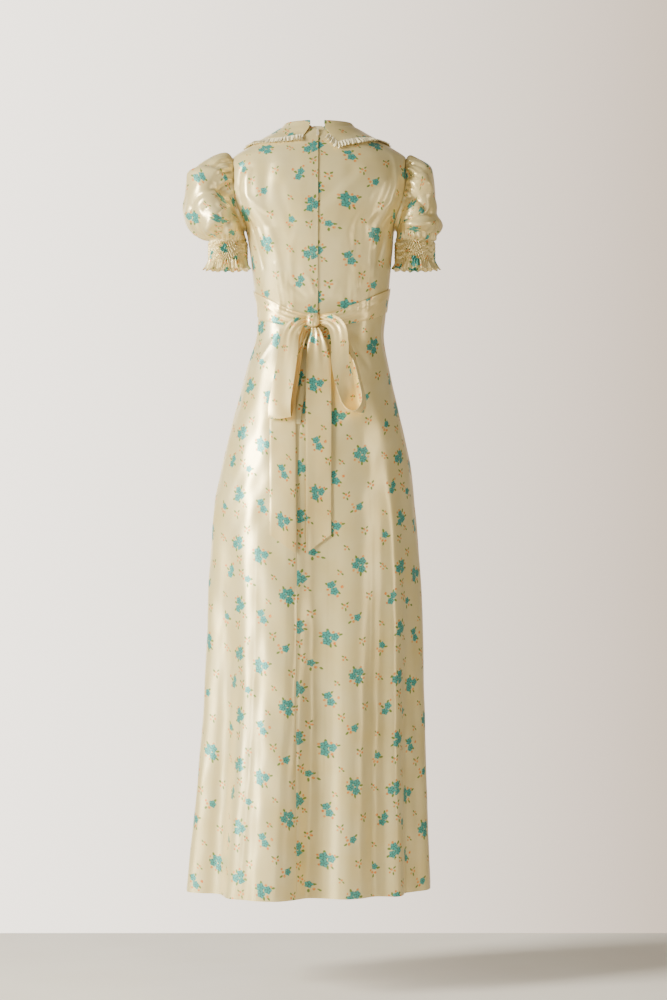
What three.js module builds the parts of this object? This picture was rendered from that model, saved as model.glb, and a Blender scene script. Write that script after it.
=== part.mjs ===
// A worn maxi dress in printed satin: fitted bodice, puff sleeves with shirred cuffs, a two-part
// collar with a gathered edge, a long back zip, a flared skirt, and ties that make a bow at the back.
// Millimetres, +Z up. The wearer faces -Y, and their left side is +X.
// The origin is midway between the neck ends of the two shoulder seams, where the dress hangs.
import * as THREE from "three";

const DEGREE = Math.PI / 180;
const UP = new THREE.Vector3(0, 0, 1);

// Cloth and seams
const CLOTH = 1.6; // wall of a sewn panel
const TRIM = 1.2; // wall of the gathered trim and of the zip's placket
const SEAM_GAP = 0.4; // between pieces that are sewn together
const ARMHOLE_GAP = 0.6; // between the sleeve and the bodice
const ZIP_GAP = 1.3; // from the centre back line to each panel's edge

// Heights
const SHOULDER_Z = -57; // outer end of the shoulder seam
const NECK_FRONT_Z = -78; // lowest point of the front neckline
const ARMPIT_Z = -196;
const WAIST_Z = -340; // raised waist seam at the side seams
const WAIST_DIP = 16; // how much lower the waist seam is at centre back
const HEM_Z = -1435;
const ZIP_TOP_Z = -10;
const ZIP_END_Z = -563;

// Neck and armholes
const NECK_HALF = 60; // half of the neck hole's width
const NECK_NOTCH = { drop: 9, half: 13 }; // the V that the two neck ends leave above the zip
const ARMHOLE_CUT = { back: 25 * DEGREE, front: 33 * DEGREE, roundness: 2.5 };

// Level sections of the worn dress, from the neck to the hem.
// half: half width. back, front: depths from the shoulder plane. shift: sideways place of the middle.
// seam: X of the centre back seam. square: how much fuller than an ellipse.
const SECTION_COLUMNS = ["z", "half", "back", "front", "shift", "seam", "square"];
const SECTIONS = table(SECTION_COLUMNS, [
  [0, 60, 46, 34, -1, 0, 0],
  [-15, 90, 58, 38, -2, 0, 0.01],
  [-45, 147, 78, 46, -3, 0, 0.02],
  [-57, 163, 84, 51, -3, 0, 0.02],
  [-78, 171, 93, 61, -3, 0, 0.025],
  [-110, 174, 101, 82, -3, 0, 0.03],
  [-150, 165, 106, 105, -2, 0, 0.03],
  [-196, 140, 104, 121, -4, 0, 0.03],
  [-235, 135, 98, 127, -6, 0, 0.03],
  [-306, 127, 83, 104, -7, 0, 0.03],
  [-340, 121, 76, 93, -8, 0, 0.03],
  [-382, 120, 77, 92, -5, 2, 0.03],
  [-457, 135, 96, 102, 0, 14, 0.03],
  [-571, 163, 124, 120, 2, 30, 0.03],
  [-646, 180, 130, 128, 4, 34, 0.02],
  [-722, 191, 133, 134, 7, 35, 0.02],
  [-900, 202, 139, 144, 7, 36, 0.01],
  [-1100, 206, 145, 152, 10, 38, 0],
  [-1435, 223, 157, 164, 21, 38, 0],
]);

// Hanging folds of the skirt: angle from centre back towards the wearer's left, height of the crest
// (or depth of the trough) at the hem, its spread towards the left and the right, and where it starts.
const SKIRT_FOLDS = table(["angle", "rise", "toLeft", "toRight", "start"], [
  [15, 34, 34, 11, -480],
  [-1, -24, 7, 15, -470],
  [-19, 14, 13, 12, -620],
  [-36, -12, 10, 8, -560],
  [-46, 17, 6, 7, -520],
  [-60, -9, 8, 9, -640],
  [-80, 10, 10, 12, -700],
  [50, -26, 13, 10, -600],
  [69, 14, 12, 9, -640],
  [92, -13, 12, 12, -560],
  [116, 20, 15, 14, -500],
  [142, -15, 13, 13, -520],
  [166, 17, 14, 15, -460],
  [190, -15, 12, 12, -480],
  [214, 19, 15, 14, -500],
  [240, -15, 13, 12, -560],
  [262, 9, 10, 9, -640],
]);

// Soft drag folds of the bodice: from one (angle, height) to another, with height and half width.
const BODICE_FOLDS = table(["angle", "z", "toAngle", "toZ", "rise", "reach"], [
  [-52, -95, -36, -265, 2.4, 12],
  [-62, -120, -52, -262, -2, 11],
  [50, -100, 42, -225, 2.2, 11],
  [34, -75, 27, -215, -1.6, 13],
  [152, -232, 150, -330, -2.5, 9],
  [208, -232, 210, -330, -2.5, 9],
]);

// Shirred cuffs: rows of shirring as shares of the height, then a loose edge that flares in waves.
const CUFF = {
  topZ: -214,
  bottomZ: -251,
  edgeZ: -268,
  rows: [0, 0.15, 0.85],
  ribRise: 1.5,
  flare: 9.75,
  waves: 10,
  waveRise: 4.2,
  unevenness: 1.5,
};
const CAP_PLEATS = { count: 7, rise: 3.4, spread: 75 * DEGREE, fade: 0.42, from: 0.1 };
// How every puff leaves the armhole and arrives at the cuff: shares of the ways that it heads, and the
// least lengths in millimetres that it keeps to them.
const PUFF = {
  leaveOut: 0.85,
  leaveLow: 0.25,
  leaveTop: 0.8,
  away: 0.35,
  awayBeside: 0.6,
  rise: 0.8,
  topShare: 1.2,
  shortest: 9,
  fullness: 7,
};
// Each sleeve's own sizes: its side, the cuff's place and radius, how far the puff stands out from the
// armhole, how far it swells on top, behind and in front, and how steeply it comes up from the cuff.
const SLEEVES = {
  left: {
    side: 1,
    x: 170,
    y: 6,
    radius: 34.5,
    out: 60,
    swell: 108,
    swellBack: 58,
    swellFront: 52,
    lift: 0.24,
  },
  right: {
    side: -1,
    x: 183,
    y: 6,
    radius: 35.5,
    out: 32,
    swell: 38,
    swellBack: 46,
    swellFront: 48,
    lift: 0.34,
  },
};
// Shares of the puff's length at its two ends that hold the creases in, and how much of a crease stays
// on the side next to the body.
const CREASE_HOLD = { from: 0.3, to: 0.15, inside: 0.25 };
// Creases of the puffs. Angle 0 is the outside and 90 the back; along is 0 at the armhole, 1 at the cuff.
const CREASE_COLUMNS = ["angle", "along", "toAngle", "toAlong", "rise", "reach"];
const CREASES = {
  left: table(CREASE_COLUMNS, [
    [76, 0.14, 12, 0.62, -7, 0.075],
    [62, 0.1, 30, 0.5, 3, 0.07],
    [95, 0.35, 20, 0.72, 4, 0.09],
    [-35, 0.4, 35, 0.44, 13, 0.15],
    [110, 0.3, 128, 0.85, -4, 0.08],
    [-70, 0.05, -20, 0.6, -5, 0.08],
    [-100, 0.4, -30, 0.8, 4, 0.1],
  ]),
  right: table(CREASE_COLUMNS, [
    [100, 0.05, 20, 0.56, 5, 0.075],
    [-35, 0.33, 35, 0.33, 18, 0.16],
    [80, 0.35, -5, 0.63, -6, 0.07],
    [95, 0.66, 40, 0.73, 8, 0.07],
    [20, 0.75, 0, 0.77, 4, 0.06],
    [-30, 0.92, 45, 0.92, -9, 0.07],
    [-60, 0.05, -15, 0.55, -5, 0.08],
    [-100, 0.45, -30, 0.8, 4, 0.1],
  ]),
};

// Collar: how far each half lies out from the neckline in plan, from its back end to its front end.
const COLLAR_REACH = table(["along", "left", "right"], [
  [0, 17, 31],
  [0.13, 20, 31],
  [0.22, 32, 35],
  [0.32, 50, 46],
  [0.42, 66, 62],
  [0.6, 58, 58],
  [0.8, 42, 42],
  [1, 31, 31],
]);
const COLLAR_COLUMNS = 26;
// Rows of the collar's stand and roll: how far each lies out from the neck seam and up from it, and the
// way its right side faces, as an angle from outwards (0) over the top (90) to the neck (180).
const COLLAR_STAND = table(["out", "up", "facing"], [
  [-1, 1.1, 180],
  [-0.8, 5, 170],
  [2.2, 8.6, 95],
]);
const COLLAR_ROLL = 7.5; // how far out from the neck seam the fall begins
const COLLAR_ROLL_LIFT = 5; // top face of the collar above the bodice, just past the roll
const COLLAR_LIFT = 2.8; // the same over the rest of the fall
const COLLAR_BACK_END = { left: [0.07, 0.1], right: [0.05, 0.12] }; // at the neck and at the edge
const RUFFLE = { width: 14, pitch: 5.6, rise: 1.6, lift: 4.6, backFrom: 0.35, frontFrom: 0.55 };

// Ties: height of the middle and width of the band, from the side seam (0) to the knot (1).
const TIE_COLUMNS = ["along", "z", "width"];
const TIES = {
  left: table(TIE_COLUMNS, [
    [0, -331, 48],
    [0.3, -341, 46],
    [0.6, -355, 38],
    [0.85, -366, 26],
    [1, -369, 18],
  ]),
  right: table(TIE_COLUMNS, [
    [0, -325, 44],
    [0.3, -336, 44],
    [0.6, -352, 38],
    [0.85, -365, 27],
    [1, -369, 18],
  ]),
};
const KNOT = { x: 9, z: -369, halfWidth: 12.5, halfDepth: 9, halfHeight: 13 };

// Bow loops: the band's middle line, as X, height and distance out from the dress, its width, and
// which way the width points (a turn of the X axis towards +Y and a tilt towards +Z). The rows run
// from the front of the knot down the outer strand, and back up the inner strand.
const LOOP_COLUMNS = ["x", "z", "out", "width", "turn", "tilt"];
const LOOPS = {
  left: table(LOOP_COLUMNS, [
    [22, -367, 13, 18, 10, 84],
    [36, -374, 21, 26, 4, 62],
    [50, -394, 24, 33, -6, 22],
    [55, -430, 24, 37, -12, 6],
    [62, -475, 23, 40, -16, 2],
    [70, -522, 21, 43, -18, -4],
    [71, -546, 18, 44, -18, -5],
    [69, -552, 14, 44, -18, -4],
    [64, -536, 9.5, 42, -18, 0],
    [52, -480, 9.5, 36, -17, 4],
    [43, -430, 9.5, 30, -15, 8],
    [34, -398, 9, 20, -6, 40],
    [25, -380, 7, 13, 4, 78],
  ]),
  right: table(LOOP_COLUMNS, [
    [-4, -367, 13, 16, -8, 96],
    [-20, -369, 20, 24, -12, 112],
    [-36, -383, 26, 32, -10, 158],
    [-41, -412, 27, 32, -2, 176],
    [-42, -450, 25, 34, 8, 180],
    [-54, -500, 21, 40, 22, 182],
    [-64, -534, 23, 40, 40, 184],
    [-78, -541, 26, 40, 62, 182],
    [-87, -520, 26, 38, 76, 180],
    [-79, -482, 22, 30, 78, 178],
    [-67, -440, 16, 22, 74, 170],
    [-48, -402, 8, 16, 40, 140],
    [-22, -380, 7, 12, 8, 108],
    [-6, -374, 7, 10, 0, 96],
  ]),
};
// Tie ends that hang below the knot, on the skirt: middle line and width down to the slanted cut.
const TAIL_COLUMNS = ["x", "z", "width", "lift"];
const TAILS = {
  left: table(TAIL_COLUMNS, [
    [21, -385, 15, 4.2],
    [34, -405, 26, 4.2],
    [50, -435, 38, 4.2],
    [60, -480, 45, 4.2],
    [64, -560, 47, 3.8],
    [64, -680, 47, 3.2],
    [64, -767, 47, 3.2],
  ]),
  right: table(TAIL_COLUMNS, [
    [4, -384, 14, 12],
    [1, -398, 24, 11],
    [0, -420, 38, 8],
    [-1.5, -450, 45, 5],
    [-1.5, -520, 47, 4.2],
    [-1.5, -640, 47, 3.4],
    [-1.5, -767, 47, 3.2],
  ]),
};
const TAIL_POINT = 34; // how much longer the inner corner of a tie's end is

// Zip: a slim slider with an arch, and a pull tab whose top bar lies under the arch.
const SLIDER = {
  width: 3,
  length: 9,
  floor: 0.4,
  deck: 1.8,
  top: 4.2,
  legStart: 0.8,
  leg: 1,
  archEnd: 7.2,
  archSlope: 0.5,
  bar: 0.9,
  step: 0.1,
};
const TAB = {
  width: 4.6,
  sideBar: 0.5,
  holeEnd: 4.8,
  length: 14,
  round: 1.5,
  thick: 0.9,
  hinge: { along: 3, out: 2.55 },
};
// Strips that run down the zip, between two sideways offsets from the centre back line.
const ZIP_TAPE = { from: -1, to: ZIP_END_Z, fromX: -9, toX: 9, lift: -CLOTH - 1, wall: 0.9 };
const ZIP_COIL = { from: -1, to: ZIP_END_Z, fromX: -0.75, toX: 0.75, lift: -0.2, wall: 1.9 };
const ZIP_PLACKET = { from: -20, to: ZIP_END_Z, fromX: -0.9, toX: 9, lift: TRIM + 0.6, wall: TRIM };

// Colours
const material = (name, color, roughness, metalness = 0) =>
  new THREE.MeshStandardMaterial({ name, color, roughness, metalness });
const satin = material("satin", 0xe9dcc0, 0.38);
const trimCloth = material("trim", 0xece0c4, 0.6);
const zipCloth = material("zip_tape", 0xdccba6, 0.7);
const zipMetal = material("zip_metal", 0xe2d8c4, 0.35, 0.6);

// A list of rows with named columns.
function table(columns, rows) {
  return rows.map((row) => Object.fromEntries(columns.map((name, i) => [name, row[i]])));
}

const mix = (a, b, t) => a + (b - a) * t;
const clamp01 = (t) => Math.min(1, Math.max(0, t));
const ease = (t) => clamp01(t) ** 2 * (3 - 2 * clamp01(t));
const range = (count) => Array.from({ length: count + 1 }, (_, i) => i / count);

// A smooth function through one column of a table that keeps the column's rises and falls.
function smooth(rows, key, column) {
  const points = [...rows].sort((a, b) => a[key] - b[key]);
  const xs = points.map((row) => row[key]);
  const ys = points.map((row) => row[column]);
  const slopes = xs.slice(1).map((x, i) => (ys[i + 1] - ys[i]) / (x - xs[i]));
  const tangents = xs.map((_, i) => {
    const before = slopes[Math.max(0, i - 1)];
    const after = slopes[Math.min(slopes.length - 1, i)];
    return before * after > 0 ? (2 * before * after) / (before + after) : 0;
  });
  return (x) => {
    if (x <= xs[0]) return ys[0];
    if (x >= xs[xs.length - 1]) return ys[ys.length - 1];
    const i = xs.findIndex((value) => value > x) - 1;
    const span = xs[i + 1] - xs[i];
    const t = (x - xs[i]) / span;
    const rest = 1 - t;
    return (
      (1 + 2 * t) * rest * rest * ys[i] +
      t * rest * rest * span * tangents[i] +
      t * t * (3 - 2 * t) * ys[i + 1] -
      t * t * rest * span * tangents[i + 1]
    );
  };
}

const body = Object.fromEntries(SECTION_COLUMNS.slice(1).map((name) => [name, smooth(SECTIONS, "z", name)]));

// How far a point of the skirt stands out from its plain section, in a crest or a trough.
function skirtFold(angle, z) {
  const turned = angle / DEGREE;
  return SKIRT_FOLDS.reduce((sum, fold) => {
    const off = ((((turned - fold.angle + 180) % 360) + 360) % 360) - 180;
    const spread = off > 0 ? fold.toLeft : fold.toRight;
    if (Math.abs(off) >= 2 * spread) return sum;
    const share = (fold.start - z) / (fold.start - HEM_Z);
    const grown = mix(ease(share), clamp01(share), 0.5);
    return sum + fold.rise * grown * Math.exp(-((off / spread) ** 2));
  }, 0);
}

// Distance from a point to a straight line between two points, all as [across, along].
function distanceToLine([px, py], [ax, ay], [bx, by]) {
  const dx = bx - ax;
  const dy = by - ay;
  const t = clamp01(((px - ax) * dx + (py - ay) * dy) / (dx * dx + dy * dy));
  return Math.hypot(px - ax - t * dx, py - ay - t * dy);
}

function bodiceFold(angle, z) {
  if (z < WAIST_Z - WAIST_DIP || z > SHOULDER_Z) return 0;
  const reachAround = 2.2; // millimetres of cloth for each degree
  const turned = angle < -95 * DEGREE ? angle / DEGREE + 360 : angle / DEGREE;
  return BODICE_FOLDS.reduce((sum, fold) => {
    const from = [fold.angle * reachAround, fold.z];
    const to = [fold.toAngle * reachAround, fold.toZ];
    const off = distanceToLine([turned * reachAround, z], from, to);
    return sum + fold.rise * Math.exp(-((off / fold.reach) ** 2));
  }, 0);
}

// The worn dress's surface at an angle from centre back (towards the wearer's left) and a height.
function surface(angle, z) {
  const fuller = body.square(z);
  const across = (Math.sin(angle) + fuller * Math.sin(3 * angle)) / (1 - fuller);
  const deep = (Math.cos(angle) - fuller * Math.cos(3 * angle)) / (1 - fuller);
  const depth = deep > 0 ? body.back(z) : body.front(z);
  const half = body.half(z);
  const out = new THREE.Vector2(across / half, deep / depth).normalize();
  const fold = z > WAIST_Z ? bodiceFold(angle, z) : skirtFold(angle, z);
  return new THREE.Vector3(body.shift(z) + half * across + out.x * fold, depth * deep + out.y * fold, z);
}

// The outward normal of that surface.
function normalAt(angle, z) {
  const step = 0.002;
  const around = surface(angle + step, z).sub(surface(angle - step, z));
  const along = surface(angle, z + 1).sub(surface(angle, z - 1));
  return around.cross(along).normalize().negate();
}

const seamAngle = (z) => Math.asin((body.seam(z) - body.shift(z)) / body.half(z));

// A point of cloth: its outer place, and its inner place one wall further in.
const cloth = (place, normal, wall = CLOTH) => ({
  outer: place.clone(),
  inner: place.clone().addScaledVector(normal, -wall),
});

// A point moved out from the worn surface by `lift`, with its wall inside it.
function onSurface(angle, z, lift = 0, wall = CLOTH) {
  const normal = normalAt(angle, z);
  return cloth(surface(angle, z).addScaledVector(normal, lift), normal, wall);
}

// A point on the waist seam: its wall is level, so the two sides of the seam face each other squarely.
function onWaist(angle, z) {
  return cloth(surface(angle, z), normalAt(angle, z).setZ(0).normalize());
}

// A closed solid from grids of cloth points. Points that coincide are one, so grids may share an edge.
function wallSolid(name, grids, surfaceMaterial) {
  const places = [];
  const found = new Map();
  const indexOf = (point) => {
    const key = point.outer.toArray().map((x) => Math.round(x * 100)).join(",");
    if (!found.has(key)) {
      found.set(key, places.length);
      places.push(point);
    }
    return found.get(key);
  };
  const faces = [];
  for (const grid of grids) {
    const own = [];
    let outward = 0;
    const addFace = (a, b, c) => {
      const indices = [a, b, c].map(indexOf);
      if (new Set(indices).size < 3) return;
      const side = b.outer.clone().sub(a.outer).cross(c.outer.clone().sub(a.outer));
      outward += side.dot([a, b, c].reduce((sum, p) => sum.add(p.outer).sub(p.inner), new THREE.Vector3()));
      own.push(indices);
    };
    for (let r = 0; r + 1 < grid.length; r++) stitchRows(grid[r], grid[r + 1], addFace);
    faces.push(...own.map(([i, j, k]) => (outward > 0 ? [i, j, k] : [i, k, j])));
  }
  const edges = new Set(faces.flatMap(([a, b, c]) => [`${a},${b}`, `${b},${c}`, `${c},${a}`]));
  const inside = places.length;
  const triangles = [...faces];
  for (const [a, b, c] of faces) triangles.push([inside + a, inside + c, inside + b]);
  for (const edge of edges) {
    const [a, b] = edge.split(",").map(Number);
    if (edges.has(`${b},${a}`)) continue;
    triangles.push([b, a, inside + a], [b, inside + a, inside + b]);
  }
  const geometry = new THREE.BufferGeometry();
  const corners = [...places.map((p) => p.outer), ...places.map((p) => p.inner)];
  const coordinates = corners.flatMap((p) => p.toArray());
  geometry.setAttribute("position", new THREE.Float32BufferAttribute(coordinates, 3));
  geometry.setIndex(triangles.flat());
  geometry.computeVertexNormals();
  const mesh = new THREE.Mesh(geometry, surfaceMaterial);
  mesh.name = name;
  return mesh;
}

// Faces between two rows. The lower row has as many spans as the upper one, or twice as many.
function stitchRows(upper, lower, addFace) {
  const twice = lower.length > upper.length;
  for (let c = 0; c + 1 < upper.length; c++) {
    const [a, b] = [upper[c], upper[c + 1]];
    if (twice) {
      const [d, e, f] = [lower[2 * c], lower[2 * c + 1], lower[2 * c + 2]];
      addFace(a, d, e);
      addFace(a, e, b);
      addFace(b, e, f);
    } else {
      addFace(a, lower[c], lower[c + 1]);
      addFace(a, lower[c + 1], b);
    }
  }
}

// Half of the gap along centre back: open for the zip, then closed as a seam.
const backGap = (z) => (z > ZIP_END_Z ? ZIP_GAP : SEAM_GAP / 2);

// How far the armhole cuts in from the side, as an angle, at a height.
function armholeCut(z, cut) {
  const s = (2 * z - ARMPIT_Z - SHOULDER_Z) / (SHOULDER_Z - ARMPIT_Z);
  if (Math.abs(s) >= 1) return 0;
  return cut * (1 - Math.abs(s) ** ARMHOLE_CUT.roundness) ** (1 / ARMHOLE_CUT.roundness);
}

// Keeps a point on its own side of the side and shoulder seams.
function keepSide(point, back) {
  const clear = SEAM_GAP / 2;
  for (const place of [point.outer, point.inner]) {
    place.y = back ? Math.max(place.y, clear) : Math.min(place.y, -clear);
  }
  return point;
}

// Heights of the bodice's rows at its outer edge: side seam, armhole, shoulder seam.
const SIDE_ROWS = range(4).map((t) => mix(WAIST_Z, ARMPIT_Z, t));
const ARMHOLE_SPANS = 6;
const ARMHOLE_ROWS = range(ARMHOLE_SPANS)
  .slice(1)
  .map((t) => mix(ARMPIT_Z, SHOULDER_Z, (1 - Math.cos(Math.PI * t)) / 2));
const SHOULDER_ROWS = range(4).slice(1).map((t) => mix(SHOULDER_Z, 0, t));
const OUTER_ROWS = [...SIDE_ROWS, ...ARMHOLE_ROWS, ...SHOULDER_ROWS];
const BODICE_COLUMNS = 9;
const NECK_ROWS_FROM = -93; // rows of the front whose outer end is higher than this start on the neckline

// The waist seam dips towards centre back, and the rows above it follow less and less.
function waistDip(angle, z) {
  const share = clamp01((z - ARMPIT_Z) / (WAIST_Z - ARMPIT_Z));
  return Math.cos(angle) > 0 ? -WAIST_DIP * Math.cos(angle) ** 2 * share : 0;
}

function backBodiceGrid(side) {
  return OUTER_ROWS.map((edgeZ) =>
    range(BODICE_COLUMNS).map((u) => {
      const outer = 90 * DEGREE - armholeCut(edgeZ, ARMHOLE_CUT.back);
      const middle = seamAngle(edgeZ) + (side * backGap(edgeZ)) / body.half(edgeZ);
      const angle = mix(middle, side * outer, u);
      let z = edgeZ + waistDip(angle, edgeZ);
      if (edgeZ === 0) {
        const fromZip = Math.abs(surface(angle, 0).x);
        z -= NECK_NOTCH.drop * clamp01(1 - (fromZip - ZIP_GAP) / NECK_NOTCH.half);
      }
      return keepSide(edgeZ === WAIST_Z ? onWaist(angle, z) : onSurface(angle, z), true);
    }),
  );
}

// Rows of the front bodice: above the neck's lowest point, the inner end follows the neckline.
function frontBodiceGrid(side) {
  const necklineRows = OUTER_ROWS.filter((z) => z > NECK_ROWS_FROM).length - 1;
  const firstNeckRow = OUTER_ROWS.length - 1 - necklineRows;
  return OUTER_ROWS.map((edgeZ, row) => {
    const outer = 90 * DEGREE + armholeCut(edgeZ, ARMHOLE_CUT.front);
    const turn = (Math.PI / 2) * clamp01((OUTER_ROWS.length - 1 - row) / necklineRows);
    const onNeckline = row >= firstNeckRow;
    const innerZ = onNeckline ? NECK_FRONT_Z * Math.sin(turn) : edgeZ;
    const innerX = onNeckline ? NECK_HALF * Math.cos(turn) : 0;
    const inner = Math.PI - Math.asin(clamp01(innerX / body.half(innerZ)));
    return range(BODICE_COLUMNS).map((u) => {
      const z = mix(innerZ, edgeZ, u);
      const angle = side * mix(inner, outer, u);
      return keepSide(edgeZ === WAIST_Z ? onWaist(angle, z) : onSurface(angle, z), false);
    });
  });
}

// The edge of the armhole, once round: up the back from the armpit and down the front.
function armholeEdge(side) {
  const first = SIDE_ROWS.length - 1;
  const last = first + ARMHOLE_SPANS;
  const edgeOf = (grid) => grid.slice(first, last + 1).map((row) => row[row.length - 1]);
  const back = edgeOf(backBodiceGrid(side));
  const front = edgeOf(frontBodiceGrid(side));
  return [...back, ...front.reverse()];
}

const SLEEVE_SPANS = 28; // round the puff; the cuff has twice as many
const PUFF_ROWS = 8;

// The armhole at an angle, 0 at the shoulder, 90 at the back and 180 at the armpit.
function armholeSampler(side) {
  const edge = armholeEdge(side);
  const middle = edge.reduce((sum, p) => sum.add(p.outer), new THREE.Vector3()).divideScalar(edge.length);
  const closed = [...edge, edge[0]];
  const lengths = [0];
  for (let i = 1; i < closed.length; i++) {
    lengths.push(lengths[i - 1] + closed[i].outer.distanceTo(closed[i - 1].outer));
  }
  const shoulder = lengths[ARMHOLE_SPANS];
  const total = lengths[lengths.length - 1];
  return (angle) => {
    const share = (((angle / (2 * Math.PI)) % 1) + 1) % 1;
    // Half a turn runs down the back to the armpit, and the other half up the front.
    const at = share <= 0.5 ? shoulder * (1 - 2 * share) : total - (total - shoulder) * (2 * share - 1);
    const i = Math.min(closed.length - 2, Math.max(0, lengths.findIndex((length) => length > at) - 1));
    const t = clamp01((at - lengths[i]) / (lengths[i + 1] - lengths[i]));
    const outer = closed[i].outer.clone().lerp(closed[i + 1].outer, t);
    const inner = closed[i].inner.clone().lerp(closed[i + 1].inner, t);
    const along = closed[i + 1].outer.clone().sub(closed[i].outer).normalize();
    const normal = outer.clone().sub(inner).normalize();
    const inward = along.cross(normal).normalize();
    if (inward.dot(outer.clone().sub(middle)) > 0) inward.negate();
    return { outer, inner, normal, inward, middle };
  };
}

// Moves a point of the cuff's loose edge out of the bodice's side, to lie just beside it.
function besideBodice(point, side) {
  const { y, z } = point.outer;
  const share = Math.min(1, Math.abs(y) / (y > 0 ? body.back(z) : body.front(z)));
  const bodiceX = body.shift(z) + side * body.half(z) * Math.sqrt(1 - share ** 2) * 1.02;
  const moved = Math.max(0, (bodiceX - point.outer.x) * side + 3);
  for (const place of [point.outer, point.inner]) place.x += side * moved;
  return point;
}

// Rise of a crease line at a place on the sleeve.
function creaseRise(creases, angle, along) {
  const turned = ((((angle / DEGREE + 180) % 360) + 360) % 360) - 180;
  const perDegree = 1 / 150; // shares of the sleeve's length for each degree round it
  return creases.reduce((sum, crease) => {
    const from = [crease.angle * perDegree, crease.along];
    const to = [crease.toAngle * perDegree, crease.toAlong];
    const off = distanceToLine([turned * perDegree, along], from, to);
    return sum + crease.rise * Math.exp(-((off / crease.reach) ** 2));
  }, 0);
}

// One sleeve: a puff from the armhole to the cuff, and the shirred cuff with its loose ruffled edge.
function sleeve(name) {
  const size = SLEEVES[name];
  const hole = armholeSampler(size.side);
  const outward = new THREE.Vector3(size.side, 0, 0);
  const cuffAxis = new THREE.Vector3(size.side * size.x, size.y, 0);
  const aroundCuff = (angle) => new THREE.Vector3(size.side * Math.cos(angle), Math.sin(angle), 0);

  // A curve runs from the armhole to the cuff. It leaves outwards, or upwards at the armpit, and arrives
  // from the side that the puff swells to.
  const puffPlace = (angle, t) => {
    const start = hole(angle);
    const top = (1 + Math.cos(angle)) / 2;
    const rear = Math.sin(angle) ** 2 * (Math.sin(angle) > 0 ? size.swellBack : size.swellFront);
    const first = start.outer.clone().addScaledVector(start.inward, ARMHOLE_GAP);
    const radial = first.clone().sub(start.middle).setX(0).normalize();
    const low = (1 - top) ** 2;
    const leave = outward.clone().multiplyScalar(PUFF.leaveOut);
    leave.addScaledVector(radial, mix(PUFF.leaveLow, PUFF.leaveTop, top) * (1 - low));
    leave.addScaledVector(start.inward, PUFF.leaveOut * low).normalize();
    const last = cuffAxis.clone().addScaledVector(aroundCuff(angle), size.radius).setZ(CUFF.topZ);
    const beside = PUFF.awayBeside * Math.sin(angle) ** 2;
    const away = clamp01(PUFF.away + (1 - PUFF.away) * Math.cos(angle) + beside);
    const arrive = aroundCuff(angle).multiplyScalar(away);
    arrive.addScaledVector(UP, mix(PUFF.rise, size.lift, away)).normalize();
    const standing = mix(PUFF.shortest, size.out, top ** PUFF.topShare);
    const control1 = first.clone().addScaledVector(leave, standing);
    const swelling = PUFF.fullness + rear * (1 - top / 2) + size.swell * top ** 2;
    const control2 = last.clone().addScaledVector(arrive, swelling);
    return new THREE.CubicBezierCurve3(first, control1, control2, last).getPoint(t);
  };
  const puffNormal = (angle, t) => {
    const step = 0.02;
    const around = puffPlace(angle + step, t).sub(puffPlace(angle - step, t));
    const along = puffPlace(angle, Math.min(1, t + step)).sub(puffPlace(angle, Math.max(0, t - step)));
    const normal = around.cross(along).normalize();
    return size.side > 0 ? normal.negate() : normal;
  };
  const puffPoint = (angle, t) => {
    if (t === 0) return cloth(puffPlace(angle, t), puffNormal(angle, t));
    if (t === 1) return cloth(puffPlace(angle, t), aroundCuff(angle));
    const turned = Math.atan2(Math.sin(angle), Math.cos(angle)) / CAP_PLEATS.spread;
    const inCap = Math.exp(-(turned ** 4)) * (1 - ease(t / CAP_PLEATS.fade)) * ease(t / CAP_PLEATS.from);
    const pleats = CAP_PLEATS.rise * Math.cos(turned * CAP_PLEATS.count * Math.PI) * inCap;
    const outside = ((1 + Math.cos(angle)) / 2) ** 0.5;
    const held = ease(t / CREASE_HOLD.from) * ease((1 - t) / CREASE_HOLD.to);
    const free = held * mix(CREASE_HOLD.inside, 1, outside);
    const normal = puffNormal(angle, t);
    const rise = pleats + creaseRise(CREASES[name], angle, t) * free;
    return cloth(puffPlace(angle, t).addScaledVector(normal, rise), normal);
  };
  const turns = range(SLEEVE_SPANS).map((u) => 2 * Math.PI * (u % 1));
  const puff = range(PUFF_ROWS).map((t) => turns.map((angle) => puffPoint(angle, t)));

  const cuffPoint = (angle, z, radius, rise) => {
    const inner = cuffAxis.clone().addScaledVector(aroundCuff(angle), radius - CLOTH).setZ(z);
    const outer = cuffAxis.clone().addScaledVector(aroundCuff(angle), radius + rise).setZ(z);
    return { outer, inner };
  };
  const fineTurns = range(2 * SLEEVE_SPANS).map((u) => 2 * Math.PI * (u % 1));
  // Shirring: each rib is a raised point over a plain inside.
  const cuff = CUFF.rows.map((t) =>
    fineTurns.map((angle, i) => {
      const rib = i % 2 === 0 && t > 0 ? CUFF.ribRise : 0;
      return cuffPoint(angle, mix(CUFF.topZ - SEAM_GAP, CUFF.bottomZ, t), size.radius, rib);
    }),
  );
  const ruffle = [0.35, 1].map((t) =>
    fineTurns.map((angle) => {
      const wave = CUFF.waveRise * Math.sin(CUFF.waves * angle) * t;
      const shorter = CUFF.unevenness * Math.cos(2 * CUFF.waves * angle) * t;
      const radius = size.radius + CUFF.flare * t ** 1.3 + wave;
      return besideBodice(cuffPoint(angle, mix(CUFF.bottomZ, CUFF.edgeZ, t) + shorter, radius, 0), size.side);
    }),
  );
  return [
    wallSolid(`sleeve_${name}`, [puff], satin),
    wallSolid(`cuff_${name}`, [[...cuff, ...ruffle]], satin),
  ];
}

// The skirt's rows as shares of its length, close together where the waist curves into the hips.
const SKIRT_ROWS = [0, 0.022, 0.05, 0.085, 0.13, 0.19, 0.26, 0.34, 0.43, 0.53, 0.64, 0.76, 0.88, 1];

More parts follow.
